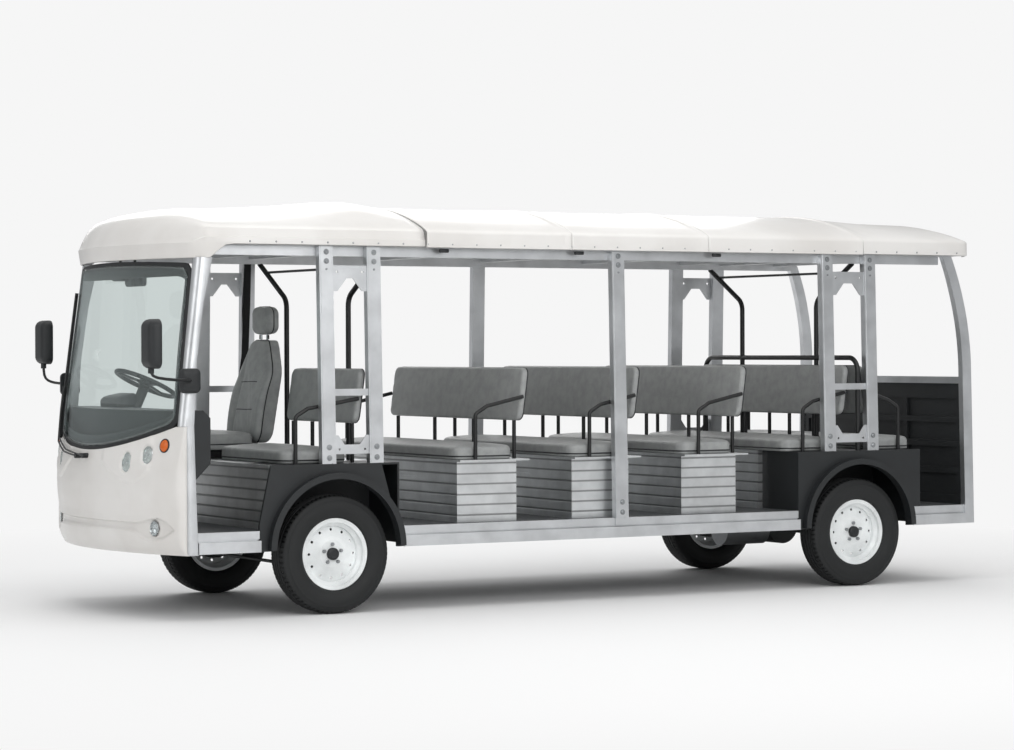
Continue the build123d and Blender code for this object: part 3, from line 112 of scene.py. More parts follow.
# each soft box: name, place, aim, width, height, watts
soft_boxes = [
    ("light_over", (0.5, 1.0, 6.5), (0, 0, 1), 9.0, 5.0, 150),
    ("light_side", (1.5, 9.5, 4.5), (0, 0, 1.0), 8.0, 4.0, 290),
    ("light_nose", (9.5, 3.0, 3.5), (2.5, 0, 1.0), 4.0, 4.0, 80),
    ("light_far", (-3.0, -8.0, 5.0), (0, 0, 1.0), 8.0, 4.0, 170),
]
for name, place, aim, width, tall, watts in soft_boxes:
    lamp_data = bpy.data.lights.new(name, "AREA")
    lamp_data.shape = "RECTANGLE"
    lamp_data.size = width
    lamp_data.size_y = tall
    lamp_data.energy = watts
    lamp = bpy.data.objects.new(name, lamp_data)
    lamp.location = place
    lamp.rotation_euler = (Vector(aim) - Vector(place)).to_track_quat("-Z", "Y").to_euler()
    bpy.context.collection.objects.link(lamp)

floor_half = 40
floor_data = bpy.data.meshes.new("studio_floor")
floor_data.from_pydata(
    [(x * floor_half, y * floor_half, 0) for x, y in ((-1, -1), (1, -1), (1, 1), (-1, 1))],
    [],
    [(0, 1, 2, 3)],
)
studio_floor = bpy.data.objects.new("studio_floor", floor_data)
bpy.context.collection.objects.link(studio_floor)
floor_paint = bpy.data.materials.new("painted_studio_floor")
floor_paint.use_nodes = True
tree = floor_paint.node_tree
tree.nodes.clear()
place = add(tree, "TexCoord")
# the floor fades to the background's colour between these distances from the bus, in metres
fade_start = 3.2
fade_end = 7.5
reach = add(tree, "VectorMath", {0: place.outputs["Object"]}, operation="LENGTH")
fade = add(tree, "MapRange", {"Value": reach.outputs["Value"], "From Min": fade_start, "From Max": fade_end})
ray = add(tree, "LightPath")
far_part = add(tree, "Math", {0: fade.outputs[0], 1: ray.outputs["Is Camera Ray"]}, operation="MULTIPLY")
matt = add(tree, "BsdfPrincipled", {"Base Color": paint("#F2F2F2"), "Roughness": 0.75})
even = add(tree, "Emission", {"Color": backdrop_colour, "Strength": 1.0})
blend = add(tree, "MixShader", {0: far_part.outputs[0], 1: matt.outputs[0], 2: even.outputs[0]})
add(tree, "OutputMaterial", {0: blend.outputs[0]})
floor_data.materials.append(floor_paint)

# Nose shell
# One glass-fibre moulding with a gelcoat finish: a bowed front, rounded corners, a shallow bumper channel
# that opens into an almond-shaped fog lamp recess each side, and a swollen panel under the headlamps.
MM = 0.001
front_axle_x = 1695
nose_x = 2895
bow_radius = 2300
bow_axis_x = nose_x - bow_radius
plan_swing = bow_radius + 15
corner_radius = 100
shell_half = 945
nose_back_x = front_axle_x + 963
nose_foot_z = 375
shell_wall = 8
# setback of the front face behind the nose's tip: height, setback
nose_setbacks = [
    (375, 45), (410, 24), (450, 12), (500, 9), (548, 10), (600, 11), (680, 3), (760, 0), (850, 4), (955, 18),
]
screen_foot_z = 955
screen_head_z = 2060
screen_foot_setback = 18
screen_head_setback = 165
screen_slope = (screen_head_setback - screen_foot_setback) / (screen_head_z - screen_foot_z)


def along(table, at):
    # a smooth value read from a table of pairs
    if at <= table[0][0]:
        return table[0][1]
    for (low, low_value), (high, high_value) in zip(table, table[1:]):
        if at <= high:
            share = (at - low) / (high - low)
            return low_value + (high_value - low_value) * share
    return table[-1][1]


def step_up(low, high, at):
    share = min(max((at - low) / (high - low), 0), 1)
    return share * share * (3 - 2 * share)


def setback(z):
    if z > screen_foot_z:
        return screen_foot_setback + (z - screen_foot_z) * screen_slope
    reach = 12
    return sum(along(nose_setbacks, z + shift * reach) for shift in (-1, -0.5, 0, 0.5, 1)) / 5


def plan_reach(turn):
    # distance from the bow's axis to the nose's plan outline
    centre_y = shell_half - corner_radius
    centre_x = math.sqrt((plan_swing - corner_radius) ** 2 - centre_y ** 2)
    swing = abs(turn)
    if swing < math.atan2(centre_y, centre_x):
        return plan_swing
    middle = math.cos(swing) * centre_x + math.sin(swing) * centre_y
    return middle + math.sqrt(max(middle ** 2 - centre_x ** 2 - centre_y ** 2 + corner_radius ** 2, 0))


def softer(first, second, width):
    # the lesser of two values, rounded where they cross
    share = min(max(0.5 + 0.5 * (second - first) / width, 0), 1)
    return second + (first - second) * share - width * share * (1 - share)


channel_top = [(0, 556), (600, 556), (680, 572), (760, 588), (830, 566), (900, 516)]
channel_low = [(0, 504), (500, 503), (570, 498), (640, 464), (719, 449), (807, 464), (900, 516)]
channel_depth = 20
channel_half = 905
# the raised panel's lower edge: across, height
smile = [
    (215, 905), (243, 890), (323, 847), (403, 809), (475, 782), (542, 771), (605, 783), (665, 808),
    (706, 843), (730, 900),
]
smile_from = 215
smile_to = 730
# each lamp: across, height, half its width, half its height
headlamps = [(507, 897, 41, 58), (684, 942, 38, 52)]
fog_lamp = (728, 524, 33, 44)
lamp_recess = 22
smile_rise = 9


def oval(y, z, lamp):
    return math.hypot((abs(y) - lamp[0]) / lamp[2], (z - lamp[1]) / lamp[3])


def nose_relief(y, z):
    # how far the moulding is sunk at a place on the front face
    across = abs(y)
    sunk = 0
    if across < channel_half:
        top = along(channel_top, across)
        low = along(channel_low, across)
        sunk += channel_depth * step_up(0, 9, top - z) * step_up(0, 12, z - low)
    if smile_from < across < smile_to:
        inner_fade = step_up(0, 60, across - smile_from)
        outer_fade = step_up(0, 30, smile_to - across)
        sunk -= smile_rise * (step_up(0, 16, z - along(smile, across)) * inner_fade * outer_fade)
    for lamp in headlamps + [fog_lamp]:
        sunk += lamp_recess * step_up(0, 0.22, 1.1 - oval(y, z, lamp))
    return sunk


def nose_point(turn, z):
    reach = softer(bow_radius - setback(z), plan_reach(turn), 14)
    y = reach * math.sin(turn)
    reach -= nose_relief(y, z)
    return (bow_axis_x + reach * math.cos(turn), reach * math.sin(turn), z)


screen_foot_half = 885
screen_foot_rise = 148


def screen_foot(y):
    return 957 + screen_foot_rise * (y / screen_foot_half) ** 2


def new_piece(name, points, faces, body="root", crease=40):
    # a mesh from millimetre points, smooth but for its creases
    data = bpy.data.meshes.new(name)
    data.from_pydata([[value * MM for value in point] for point in points], [], faces)
    data.polygons.foreach_set("use_smooth", [True] * len(data.polygons))
    data.set_sharp_from_angle(angle=math.radians(crease))
    made = bpy.data.objects.new(name, data)
    bpy.context.collection.objects.link(made)
    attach(made, body)
    return made


def grid_faces(rows, columns, round_rows=False):
    faces = []
    for row in range(rows - 1):
        for column in range(columns if round_rows else columns - 1):
            after = (column + 1) % columns
            low = row * columns
            high = low + columns
            faces.append((low + column, low + after, high + after, high + column))
    return faces


def grid_piece(name, rows, body="root", round_rows=False, crease=40):
    points = [point for row in rows for point in row]
    return new_piece(name, points, grid_faces(len(rows), len(rows[0]), round_rows), body, crease)


def settle(piece):
    # applies a piece's modifiers to its mesh
    shape = piece.evaluated_get(bpy.context.evaluated_depsgraph_get())
    data = bpy.data.meshes.new_from_object(shape)
    piece.modifiers.clear()
    piece.data = data


def thicken(piece, wall, offset=-1):
    bpy.context.view_layer.update()
    shell = piece.modifiers.new("wall", "SOLIDIFY")
    shell.thickness = wall * MM
    shell.offset = offset
    settle(piece)


def gelcoat_finish(name, colour, stain):
    # glass fibre with a polished gelcoat: hard, slightly wavy, a clear gloss over a warm white
    made = bpy.data.materials.new(name)
    made.use_nodes = True
    tree = made.node_tree
    shader = tree.nodes["Principled BSDF"]
    place = add(tree, "TexCoord").outputs["Object"]
    # slow drifts of tone about half a metre across, and dust in between
    drift = add(tree, "TexNoise", {"Vector": place, "Scale": 1 / 0.55, "Detail": 4.0, "Roughness": 0.55})
    tone = add(tree, "ValToRGB", {0: drift.outputs["Fac"]})
    tone.color_ramp.elements[0].position = 0.35
    tone.color_ramp.elements[0].color = paint(stain)
    tone.color_ramp.elements[1].position = 0.62
    tone.color_ramp.elements[1].color = paint(colour)
    tree.links.new(tone.outputs[0], shader.inputs["Base Color"])
    gloss = add(tree, "MapRange", {"Value": drift.outputs["Fac"], "To Min": 0.30, "To Max": 0.42})
    tree.links.new(gloss.outputs[0], shader.inputs["Roughness"])
    # orange peel is under 2 mm wide in life, drawn at 9 mm to show at all
    peel = add(tree, "TexNoise", {"Vector": place, "Scale": 1 / 0.009, "Detail": 2.0})
    bump = add(tree, "Bump", {"Height": peel.outputs["Fac"], "Strength": 0.04, "Distance": 0.001})
    tree.links.new(bump.outputs[0], shader.inputs["Normal"])
    shader.inputs["IOR"].default_value = 1.52
    shader.inputs["Coat Weight"].default_value = 0.35
    shader.inputs["Coat Roughness"].default_value = 0.12
    return made


gelcoat = gelcoat_finish("gelcoat_fibreglass", "#E2E0DD", "#D8D5D1")

# columns of the shell, closer together round the corners, and rows closer together over the lamps
# where the rounded corners begin, from the bow's axis: ahead, across
corner_begin = (2047, 845)
corner_turn = math.atan2(corner_begin[1], corner_begin[0])
# the shell's back edge lies this far from the bow's axis
back_edge_reach = 2272
last_turn = math.acos((nose_back_x - bow_axis_x) / back_edge_reach)
turns = [corner_turn * share / 74 for share in range(75)]
turns += [corner_turn + (last_turn - corner_turn) * share / 10 for share in range(1, 11)]
turns = [-turn for turn in reversed(turns[1:])] + turns
level_rows_top = 900
low_rows = [nose_foot_z + (level_rows_top - nose_foot_z) * share / 84 for share in range(85)]
nose_rows = [[nose_point(turn, z) for turn in turns] for z in low_rows]
for share in range(1, 15):
    row = []
    for turn in turns:
        y = (bow_radius - 20) * math.sin(turn)
        top = screen_foot(min(abs(y), screen_foot_half))
        row.append(nose_point(turn, level_rows_top + (top - level_rows_top) * share / 14))
    nose_rows.append(row)
# the foot turns in under the bumper
lip_inset = 16
lip_share = 1 - lip_inset / bow_radius
foot_lip = [(bow_axis_x + (x - bow_axis_x) * lip_share, y * lip_share, z - 2) for x, y, z in nose_rows[0]]
nose = grid_piece("nose_moulding", [foot_lip] + nose_rows, crease=60)
thicken(nose, shell_wall)
nose.data.materials.append(gelcoat)
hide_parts("nose_shell")

# Windscreen
# One bent pane of laminated glass, bonded into the nose with a black rubber surround.
# A black enamel band is fired onto the inside of the pane along its edges, wider at head and foot.
screen_wall = 6
screen_sunk = 4
rubber_width = 28
rubber_depth = 13
# the pane and its enamel band lie under the rubber by these widths
pane_lap = 6
band_lap = 4
screen_corner = 46
# the screen narrows from its low corners to its high ones
low_corner_z = 1105
high_corner_z = 2035
screen_narrowing = 47


def screen_half(z):
    return screen_foot_half - (z - low_corner_z) / (high_corner_z - low_corner_z) * screen_narrowing


def screen_outline(inset, places=44):
    # the pane's outline in front view, corners rounded: across, height
    shares = [2 * at / places - 1 for at in range(places + 1)]
    foot = [(share, screen_foot(screen_foot_half * share) + inset) for share in shares]
    head = [(share, 2056 - 21 * share ** 2 - inset) for share in shares]
    corner = screen_corner - inset * 0.3
    run = []
    for share, z in foot:
        half = screen_half(z) - inset
        y = share * half
        lift = max(0, abs(y) - (half - corner)) / corner
        run.append((y, z + corner * (1 - math.sqrt(max(0, 1 - lift ** 2))) * 0.8))
    for share, z in reversed(head):
        half = screen_half(z) - inset
        y = share * half
        lift = max(0, abs(y) - (half - corner)) / corner
        run.append((y, z - corner * (1 - math.sqrt(max(0, 1 - lift ** 2)))))
    return run


def even_outline(steps, count):
    # the same closed run with evenly spaced points
    closed = steps + [steps[0]]
    lengths = [0]
    for first, second in zip(closed, closed[1:]):
        lengths.append(lengths[-1] + math.dist(first, second))
    run = []
    at = 0
    for number in range(count):
        goal = lengths[-1] * number / count
        while lengths[at + 1] < goal:
            at += 1
        share = (goal - lengths[at]) / max(lengths[at + 1] - lengths[at], 1e-6)
        first, second = closed[at], closed[at + 1]
        run.append(tuple(first[axis] + (second[axis] - first[axis]) * share for axis in range(2)))
    return run


def face_place(y, z, sunk):
    # a point on the bowed front, sunk below it by so much
    reach = bow_radius - screen_foot_setback - max(z - screen_foot_z, 0) * screen_slope - sunk
    return (bow_axis_x + math.sqrt(reach ** 2 - y ** 2), y, z)


outline_count = 180
pane_edge = even_outline(screen_outline(rubber_width - pane_lap), outline_count)
pane_middle = (0, 1510)
pane_rows = []
for share in (1, 0.97, 0.9, 0.8, 0.68, 0.55, 0.42, 0.3, 0.18, 0.08, 0.01):
    pane_rows.append([
        face_place(
            pane_middle[0] + (y - pane_middle[0]) * share,
            pane_middle[1] + (z - pane_middle[1]) * share,
            screen_sunk,
        )
        for y, z in pane_edge
    ])
pane = grid_piece("windscreen_pane", pane_rows, round_rows=True)
thicken(pane, screen_wall, 1)
glass = bpy.data.materials.new("laminated_tinted_glass")
glass.use_nodes = True
tree = glass.node_tree
shader = tree.nodes["Principled BSDF"]
shader.inputs["Base Color"].default_value = paint("#E4EFED")
shader.inputs["Roughness"].default_value = 0.02
shader.inputs["IOR"].default_value = 1.5
shader.inputs["Transmission Weight"].default_value = 1.0
# light passes straight through a pane this thin: most of it is plain see-through with a green cast
clear = add(tree, "BsdfTransparent", {"Color": paint("#F0F5F4")})
# a thin pane throws back no more than a seventh of the light, from either face
sheen = add(tree, "Fresnel", {"IOR": 1.5})
sheen_share = add(tree, "Math", {0: sheen.outputs[0], 1: 0.14}, operation="MINIMUM")
place = add(tree, "TexCoord").outputs["Object"]
streak = add(tree, "TexNoise", {"Vector": place, "Scale": 1 / 0.3, "Detail": 3.0})
wiped = add(tree, "MapRange", {"Value": streak.outputs["Fac"], "To Min": 0.01, "To Max": 0.05})
tree.links.new(wiped.outputs[0], shader.inputs["Roughness"])
gloss = add(tree, "BsdfGlossy", {"Color": paint("#F2F6F6"), "Roughness": 0.03})
pass_mix = add(tree, "MixShader", {0: sheen_share.outputs[0], 1: clear.outputs[0], 2: gloss.outputs[0]})
tint_mix = add(tree, "MixShader", {0: 0.9, 1: shader.outputs[0], 2: pass_mix.outputs[0]})
tree.links.new(tint_mix.outputs[0], tree.nodes["Material Output"].inputs[0])
pane.data.materials.append(glass)
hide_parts("windshield")


def moulded_finish(name, colour, rough, grain_mm, depth, metal=0.0):
    # a moulded or coated surface with a fine grain of the given width
    made = bpy.data.materials.new(name)
    made.use_nodes = True
    tree = made.node_tree
    shader = tree.nodes["Principled BSDF"]
    place = add(tree, "TexCoord").outputs["Object"]
    grain = add(tree, "TexNoise", {
        "Vector": place,
        "Scale": 1 / (grain_mm * MM),
        "Detail": 3.0,
        "Roughness": 0.6,
    })
    drift = add(tree, "TexNoise", {"Vector": place, "Scale": 1 / 0.22, "Detail": 3.0})
    tone = add(tree, "ValToRGB", {0: drift.outputs["Fac"]})
    base = paint(colour)
    tone.color_ramp.elements[0].position = 0.3
    tone.color_ramp.elements[0].color = tuple(part * 0.8 for part in base[:3]) + (1.0,)
    tone.color_ramp.elements[1].position = 0.7
    tone.color_ramp.elements[1].color = tuple(min(part * 1.15, 1.0) for part in base[:3]) + (1.0,)
    tree.links.new(tone.outputs[0], shader.inputs["Base Color"])
    spread = add(tree, "MapRange", {
        "Value": grain.outputs["Fac"],
        "To Min": rough - 0.07,
        "To Max": rough + 0.07,
    })
    tree.links.new(spread.outputs[0], shader.inputs["Roughness"])
    bump = add(tree, "Bump", {"Height": grain.outputs["Fac"], "Strength": depth, "Distance": 0.001})
    tree.links.new(bump.outputs[0], shader.inputs["Normal"])
    shader.inputs["Metallic"].default_value = metal
    return made


# fired enamel: dense black, a little glossy, with no grain to speak of
enamel = moulded_finish("black_fired_enamel", "#17191B", 0.32, 3, 0.02)
band_outer = even_outline(screen_outline(rubber_width - band_lap), outline_count)


def band_inset(y, z):
    # wider along the head and the foot than at the sides
    head = step_up(1960, 2040, z)
    foot = 1 - step_up(1040, 1200, z)
    return 34 + 46 * head + 26 * foot


band_rows = [[], []]
for y, z in band_outer:
    inset = band_inset(y, z)
    way = Vector((pane_middle[0] - y, pane_middle[1] - z))
    ahead = Vector((way.x * 0.55, way.y)).normalized()
    band_rows[0].append(face_place(y, z, screen_sunk + screen_wall + 1))
    band_rows[1].append(face_place(y + ahead.x * inset, z + ahead.y * inset, screen_sunk + screen_wall + 1))
band = grid_piece("enamel_band", band_rows, round_rows=True)
thicken(band, 0.8, 1)
band.data.materials.append(enamel)

# extruded EPDM rubber: matt, slightly dusty black
rubber = moulded_finish("extruded_epdm_rubber", "#1B1D1F", 0.62, 2.5, 0.1)
outer_edge = even_outline(screen_outline(0), outline_count)
inner_edge = even_outline(screen_outline(rubber_width), outline_count)
seal_section = [(0, rubber_depth), (0, 3), (0.15, 0.5), (0.5, 0), (0.85, 1), (1, 4), (1, rubber_depth)]
seal_rows = []
for share, sunk in seal_section:
    seal_rows.append([
        face_place(y0 + (y1 - y0) * share, z0 + (z1 - z0) * share, sunk)
        for (y0, z0), (y1, z1) in zip(outer_edge, inner_edge)
    ])
surround = grid_piece("screen_rubber", seal_rows + [seal_rows[0]], round_rows=True, crease=50)
surround.data.materials.append(rubber)
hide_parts("windshield_seal")

# Door pillars
# Bent aluminium extrusions, rounded towards the glass, that run from the nose's foot to the roof cap.
# Satin anodised, so they show long soft streaks of light from foot to head.
pillar_rear = [(375, 877), (749, 885), (1105, 891), (1483, 867), (1800, 822), (2140, 745)]
pillar_front_x = front_axle_x + 962
pillar_depth = 44
pillar_round = 46
waist_half = 942
foot_half = 944
# the sides lean in from this height up
lean_start_z = 450
lean_inset = 47
lean_rise = 1650


def side_at(z):
    return waist_half - (z - lean_start_z) * lean_inset / lean_rise


def pillar_ring(z):
    # one slice of the pillar: across the outside, round the front, back along the inside
    outer = side_at(z) if z > lean_start_z else foot_half
    rear = front_axle_x + along(pillar_rear, z)
    if z <= low_corner_z:
        edge_y = outer - 38
        edge_x = pillar_front_x
    else:
        edge_y = screen_half(z) + 1.5
        edge_x = face_place(edge_y, z, 1)[0]
    inner = outer - pillar_depth
    ring = [(rear, inner, z), (rear, outer - 6, z), (rear + 2, outer - 1.5, z), (rear + 8, outer, z)]
    start = edge_x - pillar_round
    for step in range(13):
        turn = math.pi / 2 * step / 12
        round_x = start + (edge_x - start) * math.sin(turn)
        ring.append((round_x, edge_y + (outer - edge_y) * math.cos(turn), z))
    ring.append((edge_x - 2, edge_y - 3, z))
    ring.append((edge_x - 26, inner, z))
    return ring


def brushed_aluminium(name, grain_axis, colour="#DADCDE", rough=0.34):
    # satin anodised extrusion: die lines run along it, about 2 mm apart, drawn at 6 mm to show
    made = bpy.data.materials.new(name)
    made.use_nodes = True
    tree = made.node_tree
    shader = tree.nodes["Principled BSDF"]
    place = add(tree, "TexCoord").outputs["Object"]
    stretch = [1 / 0.006, 1 / 0.006, 1 / 0.006]
    stretch[grain_axis] = 1 / 0.9
    lines = add(tree, "TexNoise", {
        "Vector": add(tree, "Mapping", {"Vector": place, "Scale": tuple(stretch)}).outputs[0],
        "Scale": 1.0,
        "Detail": 3.0,
    })
    cloud = add(tree, "TexNoise", {"Vector": place, "Scale": 1 / 0.16, "Detail": 4.0})
    tone = add(tree, "ValToRGB", {0: cloud.outputs["Fac"]})
    base = paint(colour)
    tone.color_ramp.elements[0].position = 0.32
    tone.color_ramp.elements[0].color = tuple(part * 0.82 for part in base[:3]) + (1.0,)
    tone.color_ramp.elements[1].position = 0.66
    tone.color_ramp.elements[1].color = base
    tree.links.new(tone.outputs[0], shader.inputs["Base Color"])
    spread = add(tree, "MapRange", {
        "Value": lines.outputs["Fac"],
        "To Min": rough - 0.08,
        "To Max": rough + 0.14,
    })
    tree.links.new(spread.outputs[0], shader.inputs["Roughness"])
    bump = add(tree, "Bump", {"Height": lines.outputs["Fac"], "Strength": 0.12, "Distance": 0.001})
    tree.links.new(bump.outputs[0], shader.inputs["Normal"])
    shader.inputs["Metallic"].default_value = 1.0
    return made


upright_aluminium = brushed_aluminium("anodised_aluminium_upright", 2)
lengthwise_aluminium = brushed_aluminium("anodised_aluminium_lengthwise", 0)
pillar_heights = [375, 450, 600, 750, 900, 1020, 1104, 1106]
pillar_heights += [1106 + 54 * step for step in range(1, 18)] + [2068]
for side, name in ((1, "door_pillar_left"), (-1, "door_pillar_right")):
    rows = [[(x, side * y, z) for x, y, z in pillar_ring(z)] for z in pillar_heights]
    pillar = grid_piece(name, rows, round_rows=True, crease=50)
    pillar.data.materials.append(upright_aluminium)
    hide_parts("a_pillars")

# Roof cap
# The front of the roof is one deep glass-fibre moulding: a brow over the screen, long shoulders,
# and a hump at its rear edge that overlaps the first roof panel.
roof_half = 930
shoulder_z = 2235
crease_y = 872
crease_z = 2262
skirt_z = 2145
cap_rear_x = front_axle_x - 600
# height of the cap along its middle: place, height
cap_crowns = [
    (cap_rear_x, 2414),
    (front_axle_x - 520, 2424),
    (front_axle_x - 430, 2441),
    (front_axle_x - 360, 2445),
    (front_axle_x - 200, 2432),
    (front_axle_x + 60, 2408),
    (front_axle_x + 350, 2391),
    (nose_x, 2360),
]
# the brow's fall towards the screen: reach past the bow's radius, height
cap_brow = [
    (-850, 2470), (-600, 2420), (-430, 2372), (-300, 2338), (-230, 2306), (-190, 2262), (-165, 2215),
    (-147, 2175), (-136, 2150),
]
cap_corner = 170
brow_setback = 136
brow_foot_z = 2062
brow_top_z = 2152
skirt_lean = 18


def crown(x, y, table):
    top = along(table, x)
    across = abs(y)
    if across < crease_y:
        return top - (top - crease_z) * (across / crease_y) ** 2.2
    return crease_z - (crease_z - shoulder_z) * (across - crease_y) / (roof_half - crease_y)


def cap_outline():
    # plan of the cap's skirt from the left rear corner, round the brow, to the right rear corner
    swing = bow_radius - brow_setback
    centre_y = roof_half - cap_corner
    centre_x = bow_axis_x + math.sqrt((swing - cap_corner) ** 2 - centre_y ** 2)
    turn = math.atan2(centre_y, centre_x - bow_axis_x)
    left = [(cap_rear_x + (centre_x - cap_rear_x) * step / 26, roof_half) for step in range(27)]
    for step in range(1, 13):
        angle = math.pi / 2 - (math.pi / 2 - turn) * step / 12
        left.append((centre_x + cap_corner * math.cos(angle), centre_y + cap_corner * math.sin(angle)))
    for step in range(1, 25):
        angle = turn * (1 - step / 24)
        left.append((bow_axis_x + swing * math.cos(angle), swing * math.sin(angle)))
    return left + [(x, -y) for x, y in reversed(left[:-1])]


cap_run = cap_outline()
spine_front = front_axle_x + 520
cap_rows = [[] for _ in range(30)]
for x, y in cap_run:
    along_front = step_up(front_axle_x + 690, front_axle_x + 800, x)
    foot = skirt_z + (brow_foot_z - skirt_z) * along_front
    spine_x = min(max(x, cap_rear_x), spine_front)
    rows_here = []
    # the skirt leans in a little towards the screen's head
    lean = skirt_lean * along_front
    pull = Vector((spine_x - x, -y)).normalized()
    rows_here.append((x + pull.x * (lean + 8), y + pull.y * (lean + 8), foot))
    rows_here.append((x + pull.x * lean, y + pull.y * lean, foot + 2))
    for step in range(1, 5):
        share = step / 4
        inward = lean * (1 - share)
        high = foot + (brow_top_z - foot) * share if foot < 2140 else foot + 10 * share
        rows_here.append((x + pull.x * inward, y + pull.y * inward, high))
    for step in range(24):
        share = (step / 23) ** 1.6
        px = x + (spine_x - x) * share
        py = y * (1 - share)
        reach = math.hypot(px - bow_axis_x, py) - bow_radius
        over = crown(px, py, cap_crowns)
        if reach > -850:
            over = softer(over, along(cap_brow, reach), 26)
        rise = step_up(0, 0.02, share)
        low = rows_here[5][2]
        rows_here.append((px, py, low + (over - low) * rise if step else low + (over - low) * 0.45))
    for number in range(30):
        cap_rows[number].append(rows_here[number])
roof_cap = grid_piece("roof_cap", cap_rows, crease=50)
# the two halves meet along the spine
weld = roof_cap.modifiers.new("spine", "WELD")
weld.merge_threshold = 0.8 * MM
smooth = roof_cap.modifiers.new("smooth", "SMOOTH")
smooth.factor = 0.4
smooth.iterations = 3
thicken(roof_cap, 8, 1)
roof_cap.data.materials.append(gelcoat)
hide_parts("roof_front_cap")

# Roof panels
# Three crowned glass-fibre sheets and a closed rear length, riveted along the skirt.
# Each sheet's front edge stops just behind the raised bead of the one ahead of it, and a little lower.
tail_x = -3005
rear_cap_x = front_axle_x - 3804
panel_crown_z = 2414
panel_spans = [(1600, 600), (2600, 1600), (3800, 2600)]


def roof_ring(x, drop, inset):
    # one slice of roof from the left skirt's foot over the crown to the right
    run = []
    half = roof_half - inset
    run.append((x, half - 10, skirt_z))
    run.append((x, half, skirt_z + 2))
    run.append((x, half, shoulder_z - 14))
    run.append((x, half - 4, shoulder_z - 2))
    for step in range(33):
        y = (crease_y + 40 - inset) * (1 - 2 * step / 32)
        rise = crown(x, y, [(tail_x, panel_crown_z - drop), (nose_x, panel_crown_z - drop)])
        run.append((x, y, rise - inset * 0.5))
    run.append((x, -half + 4, shoulder_z - 2))
    run.append((x, -half, shoulder_z - 14))
    run.append((x, -half, skirt_z + 2))
    run.append((x, -half + 10, skirt_z))
    return run


for number, (behind, ahead) in enumerate(panel_spans):
    low = front_axle_x - behind + 1
    high = front_axle_x - ahead - 3
    # the sheet sags a few millimetres between its ends, and is beaded at its rear edge
    places = [(low, 2), (low + 4, 0), (low + 26, 0), (low + 34, 5), (low + 60, 6)]
    for step in range(1, 9):
        places.append((low + 60 + (high - low - 90) * step / 8, 6 + 3 * math.sin(math.pi * step / 8)))
    places += [(high - 12, 5), (high, 6)]
    rings = [roof_ring(x, drop, drop * 0.4) for x, drop in places]
    sheet = grid_piece(f"roof_panel_{number + 1}", rings, crease=50)
    thicken(sheet, 6, 1)
    sheet.data.materials.append(gelcoat)
    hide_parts("roof_panels")

# the closed rear length falls towards its tail and is rounded in plan
# each slice: place, drop below the crown, inset of its sides
rear_places = [
    (rear_cap_x - 2, 2, 0),
    (rear_cap_x - 8, 0, 0),
    (rear_cap_x - 34, 0, 0),
    (rear_cap_x - 44, 6, 2),
]
for step in range(1, 9):
    rear_places.append((rear_cap_x - 44 - 390 * step / 8, 6 + 24 * step / 8, 2 + 2 * step / 8))
rear_places += [
    (tail_x + 100, 34, 8),
    (tail_x + 50, 38, 18),
    (tail_x + 20, 46, 34),
    (tail_x + 5, 62, 56),
    (tail_x + 2, 84, 76),
]
rear_rows = [roof_ring(x, drop, inset) for x, drop, inset in rear_places]
last_row = rear_rows[-1]
rear_rows.append([(tail_x + 4, y * 0.985, skirt_z + (z - skirt_z) * 0.35) for x, y, z in last_row])
rear_rows.append([(tail_x + 10, y * 0.98, skirt_z + 1) for x, y, z in last_row])
rear_roof = grid_piece("roof_rear_length", rear_rows, crease=50)
thicken(rear_roof, 6, 1)
rear_roof.data.materials.append(gelcoat)
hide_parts("roof_panels")


def domes(name, places, radius, body="root", flat=0.55, segments=10):
    # low round heads on a surface: place, and the way each one faces
    mesh = bmesh.new()
    for place, way in places:
        turn = Vector(way).to_track_quat("Z", "Y").to_matrix().to_4x4()
        size = Matrix.Diagonal((1, 1, flat, 1))
        bmesh.ops.create_uvsphere(
            mesh,
            u_segments=segments,
            v_segments=6,
            radius=radius * MM,
            matrix=Matrix.Translation(Vector(place) * MM) @ turn @ size,
        )
    data = bpy.data.meshes.new(name)
    mesh.to_mesh(data)
    mesh.free()
    data.polygons.foreach_set("use_smooth", [True] * len(data.polygons))
    made = bpy.data.objects.new(name, data)
    bpy.context.collection.objects.link(made)
    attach(made, body)
    return made


rivet_pitch = 165
rivets = []
rivet_x = tail_x + 130
while rivet_x < front_axle_x + 640:
    for side in (-1, 1):
        rivets.append(((rivet_x, side * (roof_half + 0.5), skirt_z + 16), (0, side, 0)))
    rivet_x += rivet_pitch
rivet_heads = domes("roof_rivets", rivets, 6)
rivet_heads.data.materials.append(moulded_finish("zinc_plated_steel", "#A7A9AB", 0.38, 2, 0.05, metal=1.0))

# Structure carried over from the frame
# Extruded sills, posts, plates, pillars, rails and boxes, in satin anodised aluminium whose die lines follow
# each piece, with painted steel and moulded plastic between them.
chassis_black = moulded_finish("black_chassis_paint", "#1A1C1D", 0.5, 4, 0.15)
powder_black = moulded_finish("black_powder_coat", "#131415", 0.36, 1.5, 0.08)
moulded_black = moulded_finish("textured_black_abs", "#1C1F21", 0.5, 2.5, 0.22)
cast_metal = moulded_finish("cast_aluminium", "#8E9092", 0.5, 5, 0.3, metal=1.0)


